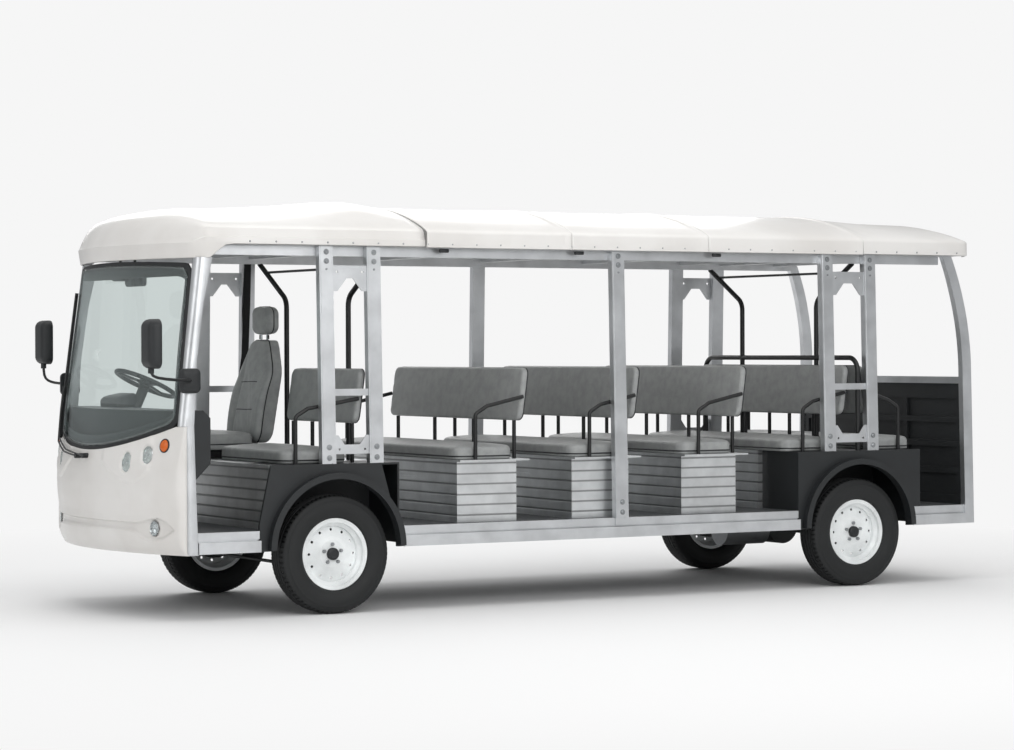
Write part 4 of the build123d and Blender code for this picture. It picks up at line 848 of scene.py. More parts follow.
def ribbed_finish(name, colour, rib_mm, rib_axis, depth, metal, rough):
    # a surface with straight ribs of the given pitch, and painted shade in its grooves
    made = bpy.data.materials.new(name)
    made.use_nodes = True
    tree = made.node_tree
    shader = tree.nodes["Principled BSDF"]
    place = add(tree, "TexCoord").outputs["Object"]
    split = add(tree, "SeparateXYZ", {0: place})
    turns_per_metre = 2 * math.pi / (rib_mm * MM)
    turn = add(tree, "Math", {0: split.outputs[rib_axis], 1: turns_per_metre}, operation="MULTIPLY")
    wave = add(tree, "Math", {0: turn.outputs[0]}, operation="SINE")
    # the crest is broad and the groove narrow
    groove = add(tree, "MapRange", {"Value": wave.outputs[0], "From Min": -1.0, "From Max": -0.72})
    grime = add(tree, "TexNoise", {"Vector": place, "Scale": 1 / 0.13, "Detail": 4.0})
    tone = add(tree, "ValToRGB", {0: grime.outputs["Fac"]})
    base = paint(colour)
    tone.color_ramp.elements[0].position = 0.3
    tone.color_ramp.elements[0].color = tuple(part * 0.8 for part in base[:3]) + (1.0,)
    tone.color_ramp.elements[1].position = 0.68
    tone.color_ramp.elements[1].color = base
    # the grooves are painted down to about a third of the base colour: painted shade in them
    dark = add(tree, "MixRGB", {
        "Fac": groove.outputs[0],
        "Color1": tuple(part * 0.35 for part in base[:3]) + (1.0,),
        "Color2": tone.outputs[0],
    })
    tree.links.new(dark.outputs[0], shader.inputs["Base Color"])
    bump = add(tree, "Bump", {"Height": groove.outputs[0], "Strength": depth, "Distance": 0.002})
    tree.links.new(bump.outputs[0], shader.inputs["Normal"])
    shader.inputs["Metallic"].default_value = metal
    shader.inputs["Roughness"].default_value = rough
    return made


# the boxes are made from interlocking planks about 62 mm tall
plank_aluminium = ribbed_finish("ribbed_plank_aluminium", "#DDDFE0", 62, 2, 0.6, 1.0, 0.4)
# the floor is studded rubber sheet with ribs about 25 mm apart running lengthwise
ribbed_floor = ribbed_finish("ribbed_floor_rubber", "#4A4D4F", 25, 1, 0.5, 0.0, 0.6)
carried = {
    "chassis_frame": chassis_black,
    "floor": ribbed_floor,
    "sills": lengthwise_aluminium,
    "side_posts": upright_aluminium,
    "post_plates": upright_aluminium,
    "rear_frame": upright_aluminium,
    "roof_frame": lengthwise_aluminium,
    "rear_panel": gelcoat,
    "rear_lining": moulded_black,
    "front_arches": moulded_black,
    "rear_arches": moulded_black,
    "seat_boxes": plank_aluminium,
    "seat_frames": powder_black,
    "hoops": powder_black,
    "steering_column": moulded_black,
    "front_axle": chassis_black,
    "rear_axle": chassis_black,
    "leaf_springs": chassis_black,
    "drive_motor": cast_metal,
    "battery_pack": moulded_black,
    "knuckle_left": chassis_black,
    "knuckle_right": chassis_black,
    "tie_rod": chassis_black,
    "dashboard": moulded_black,
    "steering_wheel": moulded_black,
}
for node_name, finish in carried.items():
    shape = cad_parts[node_name]
    if not shape.material_slots:
        shape.data.materials.append(finish)
    for slot in shape.material_slots:
        slot.material = finish

# Rims
# Pressed steel wheels: a rolled well and a dished disc with twelve round vents, in glossy white paint,
# held by five plated nuts, with a black plastic cap over the hub.
wheel_paint = moulded_finish("white_wheel_enamel", "#E9ECEC", 0.28, 3, 0.03)
nut_steel = moulded_finish("plated_steel_nuts", "#9EA1A3", 0.3, 2, 0.05, metal=1.0)
wheel_track_half = 836.5
wheel_height = 348
wheelbase = 3760
wheel_places = [
    ("front_left", front_axle_x, 1),
    ("front_right", front_axle_x, -1),
    ("rear_left", front_axle_x - wheelbase, 1),
    ("rear_right", front_axle_x - wheelbase, -1),
]


def turned(name, profile, middle, side, body, steps=72, crease=35, closed=False):
    # a profile of (radius, outward offset) turned about the wheel's axle
    rows = []
    for radius, out in profile + ([profile[0]] if closed else []):
        rows.append([
            (
                middle[0] + radius * math.cos(2 * math.pi * step / steps),
                middle[1] + side * out,
                middle[2] + radius * math.sin(2 * math.pi * step / steps),
            )
            for step in range(steps)
        ])
    return grid_piece(name, rows, body, round_rows=True, crease=crease)


def hexagons(name, places, side, radius, height, body):
    # nuts standing on the disc, with chamfered tops
    points = []
    faces = []
    for x, y, z in places:
        base = len(points)
        for out, size in ((0, 1), (height * 0.82, 1), (height, 0.8)):
            for corner in range(6):
                turn = math.pi * corner / 3
                reach = radius * size
                points.append((x + reach * math.cos(turn), y + side * out, z + reach * math.sin(turn)))
        for low in (base, base + 6):
            for corner in range(6):
                after = (corner + 1) % 6
                faces.append((low + corner, low + after, low + 6 + after, low + 6 + corner))
        faces.append(tuple(base + 12 + corner for corner in range(6)))
    return new_piece(name, points, faces, body, crease=20)


nut_circle = 57
nut_seat = 34
for wheel_name, axle_x, side in wheel_places:
    body = f"wheel_{wheel_name}"
    middle = (axle_x, side * wheel_track_half, wheel_height)
    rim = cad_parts[f"rim_{wheel_name}"]
    for slot in rim.material_slots:
        slot.material = wheel_paint
    # a rolled bead round the flange: radius, outward offset
    bead_ring = turned(f"rim_bead_{wheel_name}", [
        (206, 66.5), (209, 67), (210.5, 69.5), (209, 72), (205, 73), (198, 71.5), (194, 68.5), (194, 66),
    ], middle, side, body, steps=96)
    bead_ring.data.materials.append(wheel_paint)
    nuts = [
        (
            middle[0] + nut_circle * math.cos(2 * math.pi * number / 5 + 0.3),
            middle[1] + side * nut_seat,
            middle[2] + nut_circle * math.sin(2 * math.pi * number / 5 + 0.3),
        )
        for number in range(5)
    ]
    nut_piece = hexagons(f"wheel_nuts_{wheel_name}", nuts, side, 11, 17, body)
    nut_piece.data.materials.append(nut_steel)
    cap = turned(f"hub_cap_{wheel_name}", [
        (36, 34), (36, 50), (34.5, 55), (30, 58), (22, 59.5), (20, 58.5), (10, 58.8), (0.5, 59),
    ], middle, side, body, steps=48)
    cap.data.materials.append(moulded_black)

# Tyres
# Radial van tyres: a squared shoulder, four round-the-tyre grooves and cross cuts in the tread,
# and plain sidewalls with only moulded rings.
tread_rubber = moulded_finish("tyre_rubber_compound", "#141617", 0.66, 3, 0.2)
groove_deep = 8


def tyre_profile():
    # the tread's radius is the height of the axle over the ground
    outer = wheel_height
    # radius, distance from the tyre's middle
    run = [
        (191, 60), (200, 66), (207, 66.5), (210, 70), (216, 75), (222, 80), (223.5, 81.5), (226, 82),
        (246, 92), (268, 97), (290, 96), (304, 92), (306, 92.5), (309, 92), (311, 90), (322, 86.5),
        (331, 84), (337, 80), (342, 73), (345, 66),
    ]
    for groove_y in (42, 14):
        run += [
            (outer - 1.2, groove_y + 5),
            (outer - groove_deep, groove_y + 3.5),
            (outer - groove_deep, groove_y - 3.5),
            (outer - 0.8, groove_y - 5),
        ]
    run += [(outer, 0.0)]
    return run + [(radius, -out) for radius, out in reversed(run[:-1])]


cut_count = 72
cut_deep = 6
tread_radius = 341
shoulder_out = 46
for wheel_name, axle_x, side in wheel_places:
    body = f"wheel_{wheel_name}"
    middle = (axle_x, side * wheel_track_half, wheel_height)
    profile = tyre_profile()
    tyre_rows = []
    # cross cuts: narrow slots through the shoulder blocks
    for radius, out in profile:
        row = []
        on_shoulder = radius > tread_radius and abs(out) > shoulder_out
        for step in range(cut_count):
            for part in (0.0, 0.62, 0.68, 0.94):
                turn = 2 * math.pi * (step + part) / cut_count
                sunk = cut_deep if on_shoulder and part in (0.68, 0.94) else 0
                reach = radius - sunk
                row.append((
                    middle[0] + reach * math.cos(turn),
                    middle[1] + side * out,
                    middle[2] + reach * math.sin(turn),
                ))
        tyre_rows.append(row)
    tyre = grid_piece(f"tyre_tread_{wheel_name}", tyre_rows, body, round_rows=True, crease=38)
    tyre.data.materials.append(tread_rubber)
    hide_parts(f"tyre_{wheel_name}")

# Bench cushions and backs
# Foam under stretched grey vinyl with a fine leather grain, stitched along a piped edge.
# Each cover is blown up as cloth from a slightly smaller block, then piped where its panels meet.
seat_half = 842
deck_top_z = 875
first_row_x = front_axle_x - 849
row_step = 802
row_count = 4


def vinyl_finish(name, colour, crease_shade):
    # leather-grained vinyl: pebbles about 1 mm wide in life, drawn at 3 mm to show
    made = bpy.data.materials.new(name)
    made.use_nodes = True
    tree = made.node_tree
    shader = tree.nodes["Principled BSDF"]
    place = add(tree, "TexCoord").outputs["Object"]
    pebbles = add(tree, "TexVoronoi", {"Vector": place, "Scale": 1 / 0.003})
    creases = add(tree, "TexNoise", {"Vector": place, "Scale": 1 / 0.06, "Detail": 5.0, "Roughness": 0.6})
    height = add(tree, "Math", {0: pebbles.outputs["Distance"], 1: creases.outputs["Fac"]}, operation="ADD")
    # the tone is darker where the crease noise is low, in the hollows of the bump: painted shade in the
    # creases
    tone = add(tree, "ValToRGB", {0: creases.outputs["Fac"]})
    tone.color_ramp.elements[0].position = 0.34
    tone.color_ramp.elements[0].color = paint(crease_shade)
    tone.color_ramp.elements[1].position = 0.62
    tone.color_ramp.elements[1].color = paint(colour)
    tree.links.new(tone.outputs[0], shader.inputs["Base Color"])
    spread = add(tree, "MapRange", {"Value": pebbles.outputs["Distance"], "To Min": 0.36, "To Max": 0.52})
    tree.links.new(spread.outputs[0], shader.inputs["Roughness"])
    bump = add(tree, "Bump", {"Height": height.outputs[0], "Strength": 0.25, "Distance": 0.001})
    tree.links.new(bump.outputs[0], shader.inputs["Normal"])
    shader.inputs["Sheen Weight"].default_value = 0.08
    return made


# grey vinyl, with a darker grey painted into the crease hollows as shade
grey_vinyl = vinyl_finish("grey_leather_grain_vinyl", "#9A9C9B", "#8B8D8D")
piping_vinyl = moulded_finish("black_piping_vinyl", "#202224", 0.45, 2, 0.1)


def rounded_plan(half_u, half_v, corner, steps=6):
    # a rounded rectangle about nought, as (u, v) pairs
    run = []
    for quarter, (sign_u, sign_v) in enumerate(((1, 1), (-1, 1), (-1, -1), (1, -1))):
        for step in range(steps + 1):
            turn = math.pi / 2 * (quarter + step / steps)
            run.append((
                sign_u * (half_u - corner) + corner * math.cos(turn),
                sign_v * (half_v - corner) + corner * math.sin(turn),
            ))
    return run


def tapered_plan(half_low, half_high, shoulder_v, half_v, corner):
    # a seat back's face: straight sides to a shoulder, then drawn in towards the head
    run = rounded_plan(half_low, half_v, corner, 10)
    fine = []
    for (u0, v0), (u1, v1) in zip(run, run[1:] + run[:1]):
        pieces = max(1, int(math.dist((u0, v0), (u1, v1)) / 30))
        for piece in range(pieces):
            fine.append((u0 + (u1 - u0) * piece / pieces, v0 + (v1 - v0) * piece / pieces))
    drawn = []
    for u, v in fine:
        squeeze = 1 - (1 - half_high / half_low) * step_up(shoulder_v, half_v, v)
        drawn.append((u * squeeze, v))
    return drawn


def pad_block(name, plan, levels, put, body="root"):
    # a closed block from a plan drawn at several levels, each set in from the edge by its own amount
    points = []
    for level, inset in levels:
        for u, v in plan(inset):
            points.append(put(u, v, level))
    count = len(plan(0))
    faces = grid_faces(len(levels), count, True)
    faces.append(tuple(reversed(range(count))))
    faces.append(tuple(range(count * (len(levels) - 1), count * len(levels))))
    return new_piece(name, points, faces, body, crease=80)


def edge_levels(thick, low_round, high_round):
    # levels through a pad's thickness, with both edges rounded
    levels = []
    for step in range(4):
        turn = math.pi / 2 * step / 3
        levels.append((low_round * (1 - math.cos(turn)), low_round * (1 - math.sin(turn))))
    for step in range(5):
        turn = math.pi / 2 * step / 4
        levels.append((thick - high_round * (1 - math.sin(turn)), high_round * (1 - math.cos(turn))))
    return levels


def plump(piece, voxel, most, held):
    # blows the cover up as cloth, with its held places pinned and its travel capped
    remesh = piece.modifiers.new("even_quads", "REMESH")
    remesh.mode = "VOXEL"
    remesh.voxel_size = voxel * MM
    bpy.context.view_layer.update()
    settle(piece)
    piece.data.polygons.foreach_set("use_smooth", [True] * len(piece.data.polygons))
    start = [vertex.co.copy() for vertex in piece.data.vertices]
    group = piece.vertex_groups.new(name="held")
    group.add([number for number, place in enumerate(start) if held(place / MM)], 1.0, "REPLACE")
    stuffing = piece.modifiers.new("stuffing", "CLOTH")
    cloth = stuffing.settings
    cloth.quality = 4
    cloth.mass = 0.4
    cloth.tension_stiffness = 12
    cloth.compression_stiffness = 12
    cloth.shear_stiffness = 6
    cloth.bending_stiffness = 0.6
    cloth.use_pressure = True
    cloth.uniform_pressure_force = 4.0
    cloth.effector_weights.gravity = 0
    cloth.vertex_group_mass = "held"
    stuffing.point_cache.frame_start = 1
    stuffing.point_cache.frame_end = 20
    for moment in range(1, 21):
        bpy.context.scene.frame_set(moment)
    settle(piece)
    bpy.context.scene.frame_set(1)
    for vertex, place in zip(piece.data.vertices, start):
        travel = vertex.co - place
        if travel.length > most * MM:
            vertex.co = place + travel.normalized() * most * MM
    piece.data.polygons.foreach_set("use_smooth", [True] * len(piece.data.polygons))


def cover(piece, fill, *nodes):
    # finishes a padded piece
    piece.data.materials.append(grey_vinyl)
    for node_name in nodes:
        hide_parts(node_name)


def twin(piece, name, shift):
    # the same cover again, moved by so many millimetres
    data = piece.data.copy()
    for vertex in data.vertices:
        vertex.co += Vector(shift) * MM
    made = bpy.data.objects.new(name, data)
    bpy.context.collection.objects.link(made)
    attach(made, "root")
    return made


def cord(name, runs, radius, body="root", sides=8, closed=True):
    # round cord or tube along each run of millimetre points
    points = []
    faces = []
    for run in runs:
        count = len(run)
        base = len(points)
        before = None
        for number, place in enumerate(run):
            if closed:
                way = Vector(run[(number + 1) % count]) - Vector(run[number - 1])
            else:
                way = Vector(run[min(number + 1, count - 1)]) - Vector(run[max(number - 1, 0)])
            way.normalize()
            if before is None:
                guide = Vector((0, 0, 1)) if abs(way.z) < 0.9 else Vector((1, 0, 0))
                before = way.cross(guide).normalized()
            before = (before - way * before.dot(way)).normalized()
            other = way.cross(before)
            for side in range(sides):
                turn = 2 * math.pi * side / sides
                point = Vector(place) + before * radius * math.cos(turn)
                points.append(tuple(point + other * radius * math.sin(turn)))
        for number in range(count if closed else count - 1):
            after = (number + 1) % count
            for side in range(sides):
                beside = (side + 1) % sides
                faces.append((
                    base + number * sides + side,
                    base + number * sides + beside,
                    base + after * sides + beside,
                    base + after * sides + side,
                ))
        if not closed:
            faces.append(tuple(base + side for side in reversed(range(sides))))
            faces.append(tuple(base + (count - 1) * sides + side for side in range(sides)))
    return new_piece(name, points, faces, body, crease=60)


def piping(name, piece, run, radius=4.5):
    # cord laid on the cover where its panels are sewn together
    laid = []
    for place in run:
        hit, point = piece.closest_point_on_mesh(Vector(place) * MM)[:2]
        laid.append(tuple(point / MM) if hit else place)
    welt = cord(name, [laid], radius)
    welt.data.materials.append(piping_vinyl)
    return welt


def finely(run, step=25):
    # a closed run of places, each side cut into pieces of about this length
    fine = []
    for first, second in zip(run, run[1:] + run[:1]):
        pieces = max(1, int(math.dist(first, second) / step))
        for piece in range(pieces):
            share = piece / pieces
            fine.append(tuple(a + (b - a) * share for a, b in zip(first, second)))
    return fine


cushion_inset = 2
cushion_tall = 85
wide_voxel = 10
# the sewn rim holds its place while the faces fill out
rim_band = 13
back_middle_z = 1266
back_half_tall = 161
back_level = 60


def bench_cushion(name, middle_x, half_x, middle_y, half_y):
    def plan(inset):
        edge = cushion_inset + inset
        return rounded_plan(half_x - edge, half_y - edge, max(70 - inset, 8))

    def put(u, v, level):
        rise = level * (cushion_tall - cushion_inset) / cushion_tall
        return (middle_x + u, middle_y + v, deck_top_z + 1 + rise)

    block = pad_block(name, plan, edge_levels(cushion_tall, 6, 30), put)
    plump(block, wide_voxel, 16, lambda place: (
        place.z < deck_top_z + 30
        or abs(place.x - middle_x) > half_x - cushion_inset - rim_band
        or abs(place.y - middle_y) > half_y - cushion_inset - rim_band
    ))
    cover(block, 0.9, "bench_cushions")
    run = finely([put(u, v, 20) for u, v in rounded_plan(half_x, half_y, 70)])
    return block, run


def bench_back(name, foot_x, lean, thick, middle_y, half_y):
    # foot_x is the lower front edge; the back leans by so much at its top
    def plan(inset):
        edge = cushion_inset + inset
        return rounded_plan(half_y - edge, back_half_tall - edge, max(45 - inset, 8))

    def put(u, v, level):
        leant_x = foot_x + lean * (v + back_half_tall) / (2 * back_half_tall)
        return (leant_x + thick * (0.08 + 0.84 * level / back_level), middle_y + u, back_middle_z + v)

    block = pad_block(name, plan, edge_levels(back_level, 16, 22), put)
    plump(block, wide_voxel, 14, lambda place: (
        abs(place.z - back_middle_z) > back_half_tall - cushion_inset - rim_band
        or abs(place.y - middle_y) > half_y - cushion_inset - rim_band
    ))
    cover(block, 0.8, "bench_backs")
    run = finely([put(u, v, 46) for u, v in rounded_plan(half_y - 4, 157, 42)])
    return block, run


first_cushion, cushion_run = bench_cushion("bench_cushion_1", first_row_x - 196, 204, 0, seat_half)
first_back, back_run = bench_back("bench_back_1", 433, -44, -60, 0, seat_half)
for row in range(row_count):
    shift = (-row_step * row, 0, 0)
    cushion = first_cushion
    back = first_back
    if row:
        cushion = twin(first_cushion, f"bench_cushion_{row + 1}", shift)
        cover(cushion, 0.9, "bench_cushions")
        back = twin(first_back, f"bench_back_{row + 1}", shift)
        cover(back, 0.8, "bench_backs")
    piping(f"cushion_piping_{row + 1}", cushion, [(x + shift[0], y, z) for x, y, z in cushion_run])
    piping(f"back_piping_{row + 1}", back, [(x + shift[0], y, z) for x, y, z in back_run])
for name, low_x, high_x, low_y, high_y in (
    ("front_bench_cushion", 1570, 1995, -85, 842),
    ("rear_facing_cushion", -2567, -2244, -842, 842),
):
    middle = ((low_x + high_x) / 2, (low_y + high_y) / 2)
    half = ((high_x - low_x) / 2, (high_y - low_y) / 2)
    cushion, run = bench_cushion(name, middle[0], half[0], middle[1], half[1])
    piping(f"{name}_piping", cushion, run)
for name, foot_x, lean, thick, low_y, high_y in (
    ("front_bench_back", 1545, -44, -60, -85, 842),
    ("rear_facing_back", -2230, 44, 60, -842, 842),
):
    back, run = bench_back(name, foot_x, lean, thick, (low_y + high_y) / 2, (high_y - low_y) / 2)
    piping(f"{name}_piping", back, run)

# Driver's seat
# A sprung van seat: a squab, a tapered back with raised side bolsters, and a headrest on two posts,
# all in the same grey vinyl over foam.
driver_y = -420
squab_x = 1910
squab_foot_z = 927
squab_half_x = 218
squab_half_y = 228
driver_back_z = 1281
headrest_z = 1722


def driver_squab_place(u, v, level):
    wing = 14 * step_up(130, 200, abs(v)) * step_up(40, 90, level)
    return (squab_x + u, driver_y + v, squab_foot_z + level * 0.96 + wing)


def driver_back_place(u, v, level):
    share = (v + 324) / 648
    front_x = 1685 - 110 * share
    wing = 22 * step_up(135, 210, abs(u)) * step_up(45, 95, level) * (1 - step_up(0.45, 0.75, share))
    lumbar = 14 * math.sin(math.pi * min(share * 1.6, 1)) * step_up(45, 95, level)
    return (front_x - 105 + level * 0.97 + wing + lumbar - 6, driver_y + u, driver_back_z + v)


def driver_head_place(u, v, level):
    bow = -10 * (u / 130) ** 2
    return (1476 + level * 0.95 + bow, driver_y + u, headrest_z + v)


squab = pad_block(
    "driver_squab",
    lambda inset: rounded_plan(squab_half_x - inset, squab_half_y - inset, max(60 - inset, 8)),
    edge_levels(95, 10, 34),
    driver_squab_place,
)
plump(squab, 7, 12, lambda place: (
    place.z < squab_foot_z + 21
    or max(abs(place.x - squab_x) / squab_half_x, abs(place.y - driver_y) / squab_half_y) > 0.95
))
cover(squab, 0.9, "driver_cushion")
squab_edge = [driver_squab_place(u, v, 36) for u, v in rounded_plan(225, 235, 60)]
piping("squab_piping", squab, finely(squab_edge), 4)

driver_back = pad_block(
    "driver_back_cover",
    lambda inset: tapered_plan(228 - inset, 128 - inset * 0.6, 90, 318 - inset, max(80 - inset, 10)),
    edge_levels(105, 22, 34),
    driver_back_place,
)
plump(driver_back, 7, 12, lambda place: (
    abs(place.z - driver_back_z) > 306
    or abs(place.y - driver_y) > (214 if place.z < 1340 else 116)
    or abs(place.z - 1100) < 12 and place.x < 1560
))
cover(driver_back, 0.85, "driver_back")
back_edge = [driver_back_place(u, v, 74) for u, v in tapered_plan(234, 132, 90, 323, 80)]
piping("driver_back_piping", driver_back, finely(back_edge), 4)

headrest = pad_block(
    "headrest_cover",
    lambda inset: rounded_plan(124 - inset, 85 - inset, max(52 - inset, 8)),
    edge_levels(95, 30, 34),
    driver_head_place,
)
plump(headrest, 6, 9, lambda place: abs(place.z - headrest_z) > 76 or abs(place.y - driver_y) > 114)
cover(headrest, 0.9, "driver_headrest")
headrest_edge = [driver_head_place(u, v, 50) for u, v in rounded_plan(130, 90, 52)]
piping("headrest_piping", headrest, finely(headrest_edge, 15), 3.5)

# two chromed posts carry the headrest
post_pair = cord("headrest_posts", [
    [(1522, driver_y + across, 1560), (1522, driver_y + across, 1665)] for across in (-42, 42)
], 6.5, sides=16, closed=False)
post_pair.data.materials.append(moulded_finish("chromed_steel_post", "#C9CBCD", 0.15, 3, 0.01, metal=1.0))
# the middle of the back is a separate panel, sewn across twice
for number, height in enumerate((-110, 60)):
    seam = []
    for step in range(21):
        u = -125 + 250 * step / 20
        over = Vector(driver_back_place(u, height, 120)) * MM
        seam.append(tuple(driver_back.closest_point_on_mesh(over)[1] / MM))
    sewn = cord(f"driver_back_seam_{number + 1}", [seam], 3, closed=False)
    sewn.data.materials.append(piping_vinyl)

# Lamps
# Headlamps are chrome bowls under clear moulded lenses, with a round amber turn lamp beside them,
# small fog lamps in the bumper's almond recess, and tall red and amber tail lamps on the rear corners.
chrome = moulded_finish("chromed_reflector", "#D4D6D8", 0.12, 6, 0.01, metal=1.0)


def lens_finish(name, colour, clear_share, rib_mm):
    # moulded polycarbonate: its inner face is fluted in upright ribs
    made = bpy.data.materials.new(name)
    made.use_nodes = True
    tree = made.node_tree
    shader = tree.nodes["Principled BSDF"]
    place = add(tree, "TexCoord").outputs["Object"]
    across = add(tree, "SeparateXYZ", {0: place})
    turn = add(tree, "Math", {0: across.outputs["Y"], 1: 2 * math.pi / (rib_mm * MM)}, operation="MULTIPLY")
    flute = add(tree, "Math", {0: turn.outputs[0]}, operation="SINE")
    dust = add(tree, "TexNoise", {"Vector": place, "Scale": 1 / 0.02, "Detail": 3.0})
    haze = add(tree, "MapRange", {"Value": dust.outputs["Fac"], "To Min": 0.04, "To Max": 0.16})
    tree.links.new(haze.outputs[0], shader.inputs["Roughness"])
    bump = add(tree, "Bump", {"Height": flute.outputs[0], "Strength": 0.15, "Distance": 0.001})
    tree.links.new(bump.outputs[0], shader.inputs["Normal"])
    shader.inputs["Base Color"].default_value = paint(colour)
    shader.inputs["IOR"].default_value = 1.58
    shader.inputs["Transmission Weight"].default_value = clear_share
    clear = add(tree, "BsdfTransparent", {"Color": paint(colour)})
    blend = add(tree, "MixShader", {0: clear_share * 0.6, 1: shader.outputs[0], 2: clear.outputs[0]})
    tree.links.new(blend.outputs[0], tree.nodes["Material Output"].inputs[0])
    return made


clear_lens = lens_finish("clear_polycarbonate", "#EEF2F2", 0.85, 4)
amber_lens = lens_finish("amber_polycarbonate", "#F0761E", 0.25, 3)
red_lens = lens_finish("red_polycarbonate", "#A3171A", 0.25, 5)


def front_place(y, z, proud):
    # a point over the nose's face, without its relief
    reach = bow_radius - setback(z) + proud
    return (bow_axis_x + math.sqrt(reach ** 2 - y ** 2), y, z)


def oval_disc(name, lamp, profile, side, steps=48):
    # rings of (share of the lamp's half sizes, height over the face)
    rows = []
    for share, proud in profile:
        rows.append([
            front_place(
                side * (lamp[0] + lamp[2] * share * math.cos(2 * math.pi * step / steps)),
                lamp[1] + lamp[3] * share * math.sin(2 * math.pi * step / steps),
                proud,
            )
            for step in range(steps)
        ])
    return grid_piece(name, rows, round_rows=True, crease=50)


# share of the lamp's half sizes, height over the face
bowl_profile = [
    (1.06, 1.5), (1.08, -3), (1.0, -6), (0.93, -14), (0.82, -22), (0.66, -30), (0.45, -35), (0.2, -37),
    (0.01, -37.5),
]
lens_profile = [(1.0, -6), (1.0, 1), (0.9, 3), (0.72, 5), (0.5, 6.5), (0.25, 7.2), (0.01, 7.4)]
amber = (813, 997, 30, 34)
for side, word in ((1, "left"), (-1, "right")):
    for number, lamp in enumerate(headlamps):
        inner = (lamp[0], lamp[1], lamp[2] - 1, lamp[3] - 2)
        bowl = oval_disc(f"headlamp_bowl_{word}_{number + 1}", inner, bowl_profile, side)
        bowl.data.materials.append(chrome)
        lens = oval_disc(f"headlamp_lens_{word}_{number + 1}", inner, lens_profile, side)
        thicken(lens, 2.5)
        lens.data.materials.append(clear_lens)
        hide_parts("lamps")
        # the bulb's shade stands in the middle of the bowl
        shade = oval_disc(
            f"headlamp_shade_{word}_{number + 1}",
            (lamp[0], lamp[1], 11, 11),
            [(1, -37), (1, -16), (0.8, -13), (0.4, -11.5), (0.01, -11)],
            side,
            24,
        )
        shade.data.materials.append(chrome)
    ring = oval_disc(
        f"turn_lamp_rim_{word}",
        amber,
        [(1.18, -6), (1.18, 3), (1.12, 5.5), (1.02, 5.5), (0.98, 2), (0.98, -6)],
        side,
    )
    ring.data.materials.append(rubber)
    turn_lens = oval_disc(
        f"turn_lamp_lens_{word}",
        amber,
        [(0.98, -5), (0.98, 4), (0.85, 8), (0.6, 11), (0.3, 12.4), (0.01, 12.8)],
        side,
    )
    turn_lens.data.materials.append(amber_lens)
    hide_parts("lamps")
    fog = (fog_lamp[0], fog_lamp[1], fog_lamp[2] - 2, fog_lamp[3] - 2)
    fog_bowl = oval_disc(
        f"fog_lamp_bowl_{word}",
        fog,
        [(1.05, -12), (0.9, -24), (0.7, -31), (0.4, -35), (0.01, -36)],
        side,
    )
    fog_bowl.data.materials.append(chrome)
    fog_lens = oval_disc(
        f"fog_lamp_lens_{word}",
        fog,
        [(1.0, -18), (1.0, -12), (0.8, -9), (0.5, -7.5), (0.01, -7)],
        side,
    )
    fog_lens.data.materials.append(clear_lens)

# tail lamps: a black housing, with red over amber over red lenses, each slightly domed
# across, height, width, how tall
tail_lamp = (760, 1000, 110, 260)
# each lens: its low and high edge from the lamp's middle, its finish
tail_lenses = ((-124, -44, red_lens), (-40, 36, amber_lens), (40, 124, red_lens))
for side, word in ((1, "left"), (-1, "right")):
    middle_y, middle_z, width, tall = tail_lamp
    housing = pad_block(
        f"tail_lamp_housing_{word}",
        lambda inset: rounded_plan(width / 2 - inset, tall / 2 - inset, max(16 - inset, 4)),
        [(0, 0), (3.5, 0), (4.5, 1.5)],
        lambda u, v, level: (tail_x - level, side * middle_y + u, middle_z + v),
    )
    housing.data.materials.append(moulded_black)
    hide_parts("lamps")
    for number, (low, high, finish) in enumerate(tail_lenses):
        lens = pad_block(
            f"tail_lens_{word}_{number + 1}",
            lambda inset: rounded_plan(width / 2 - 5 - inset, (high - low) / 2 - inset, max(12 - inset, 3)),
            [(0, 0), (4.8, 0), (6.2, 1.5), (6.9, 4)],
            lambda u, v, level: (tail_x - level, side * middle_y + u, middle_z + (low + high) / 2 + v),
        )
        lens.data.materials.append(finish)

# Outside mirrors
# Black plastic heads on bent steel arms that turn out of a moulded foot bolted to each door pillar.
# The glass lies flush in the rear of the head.
mirror_silver = moulded_finish("silvered_mirror_glass", "#DCE2E4", 0.04, 20, 0.0, metal=1.0)
mirror_width = 165
mirror_tall = 275
mirror_thick = 75
glass_margin = 10
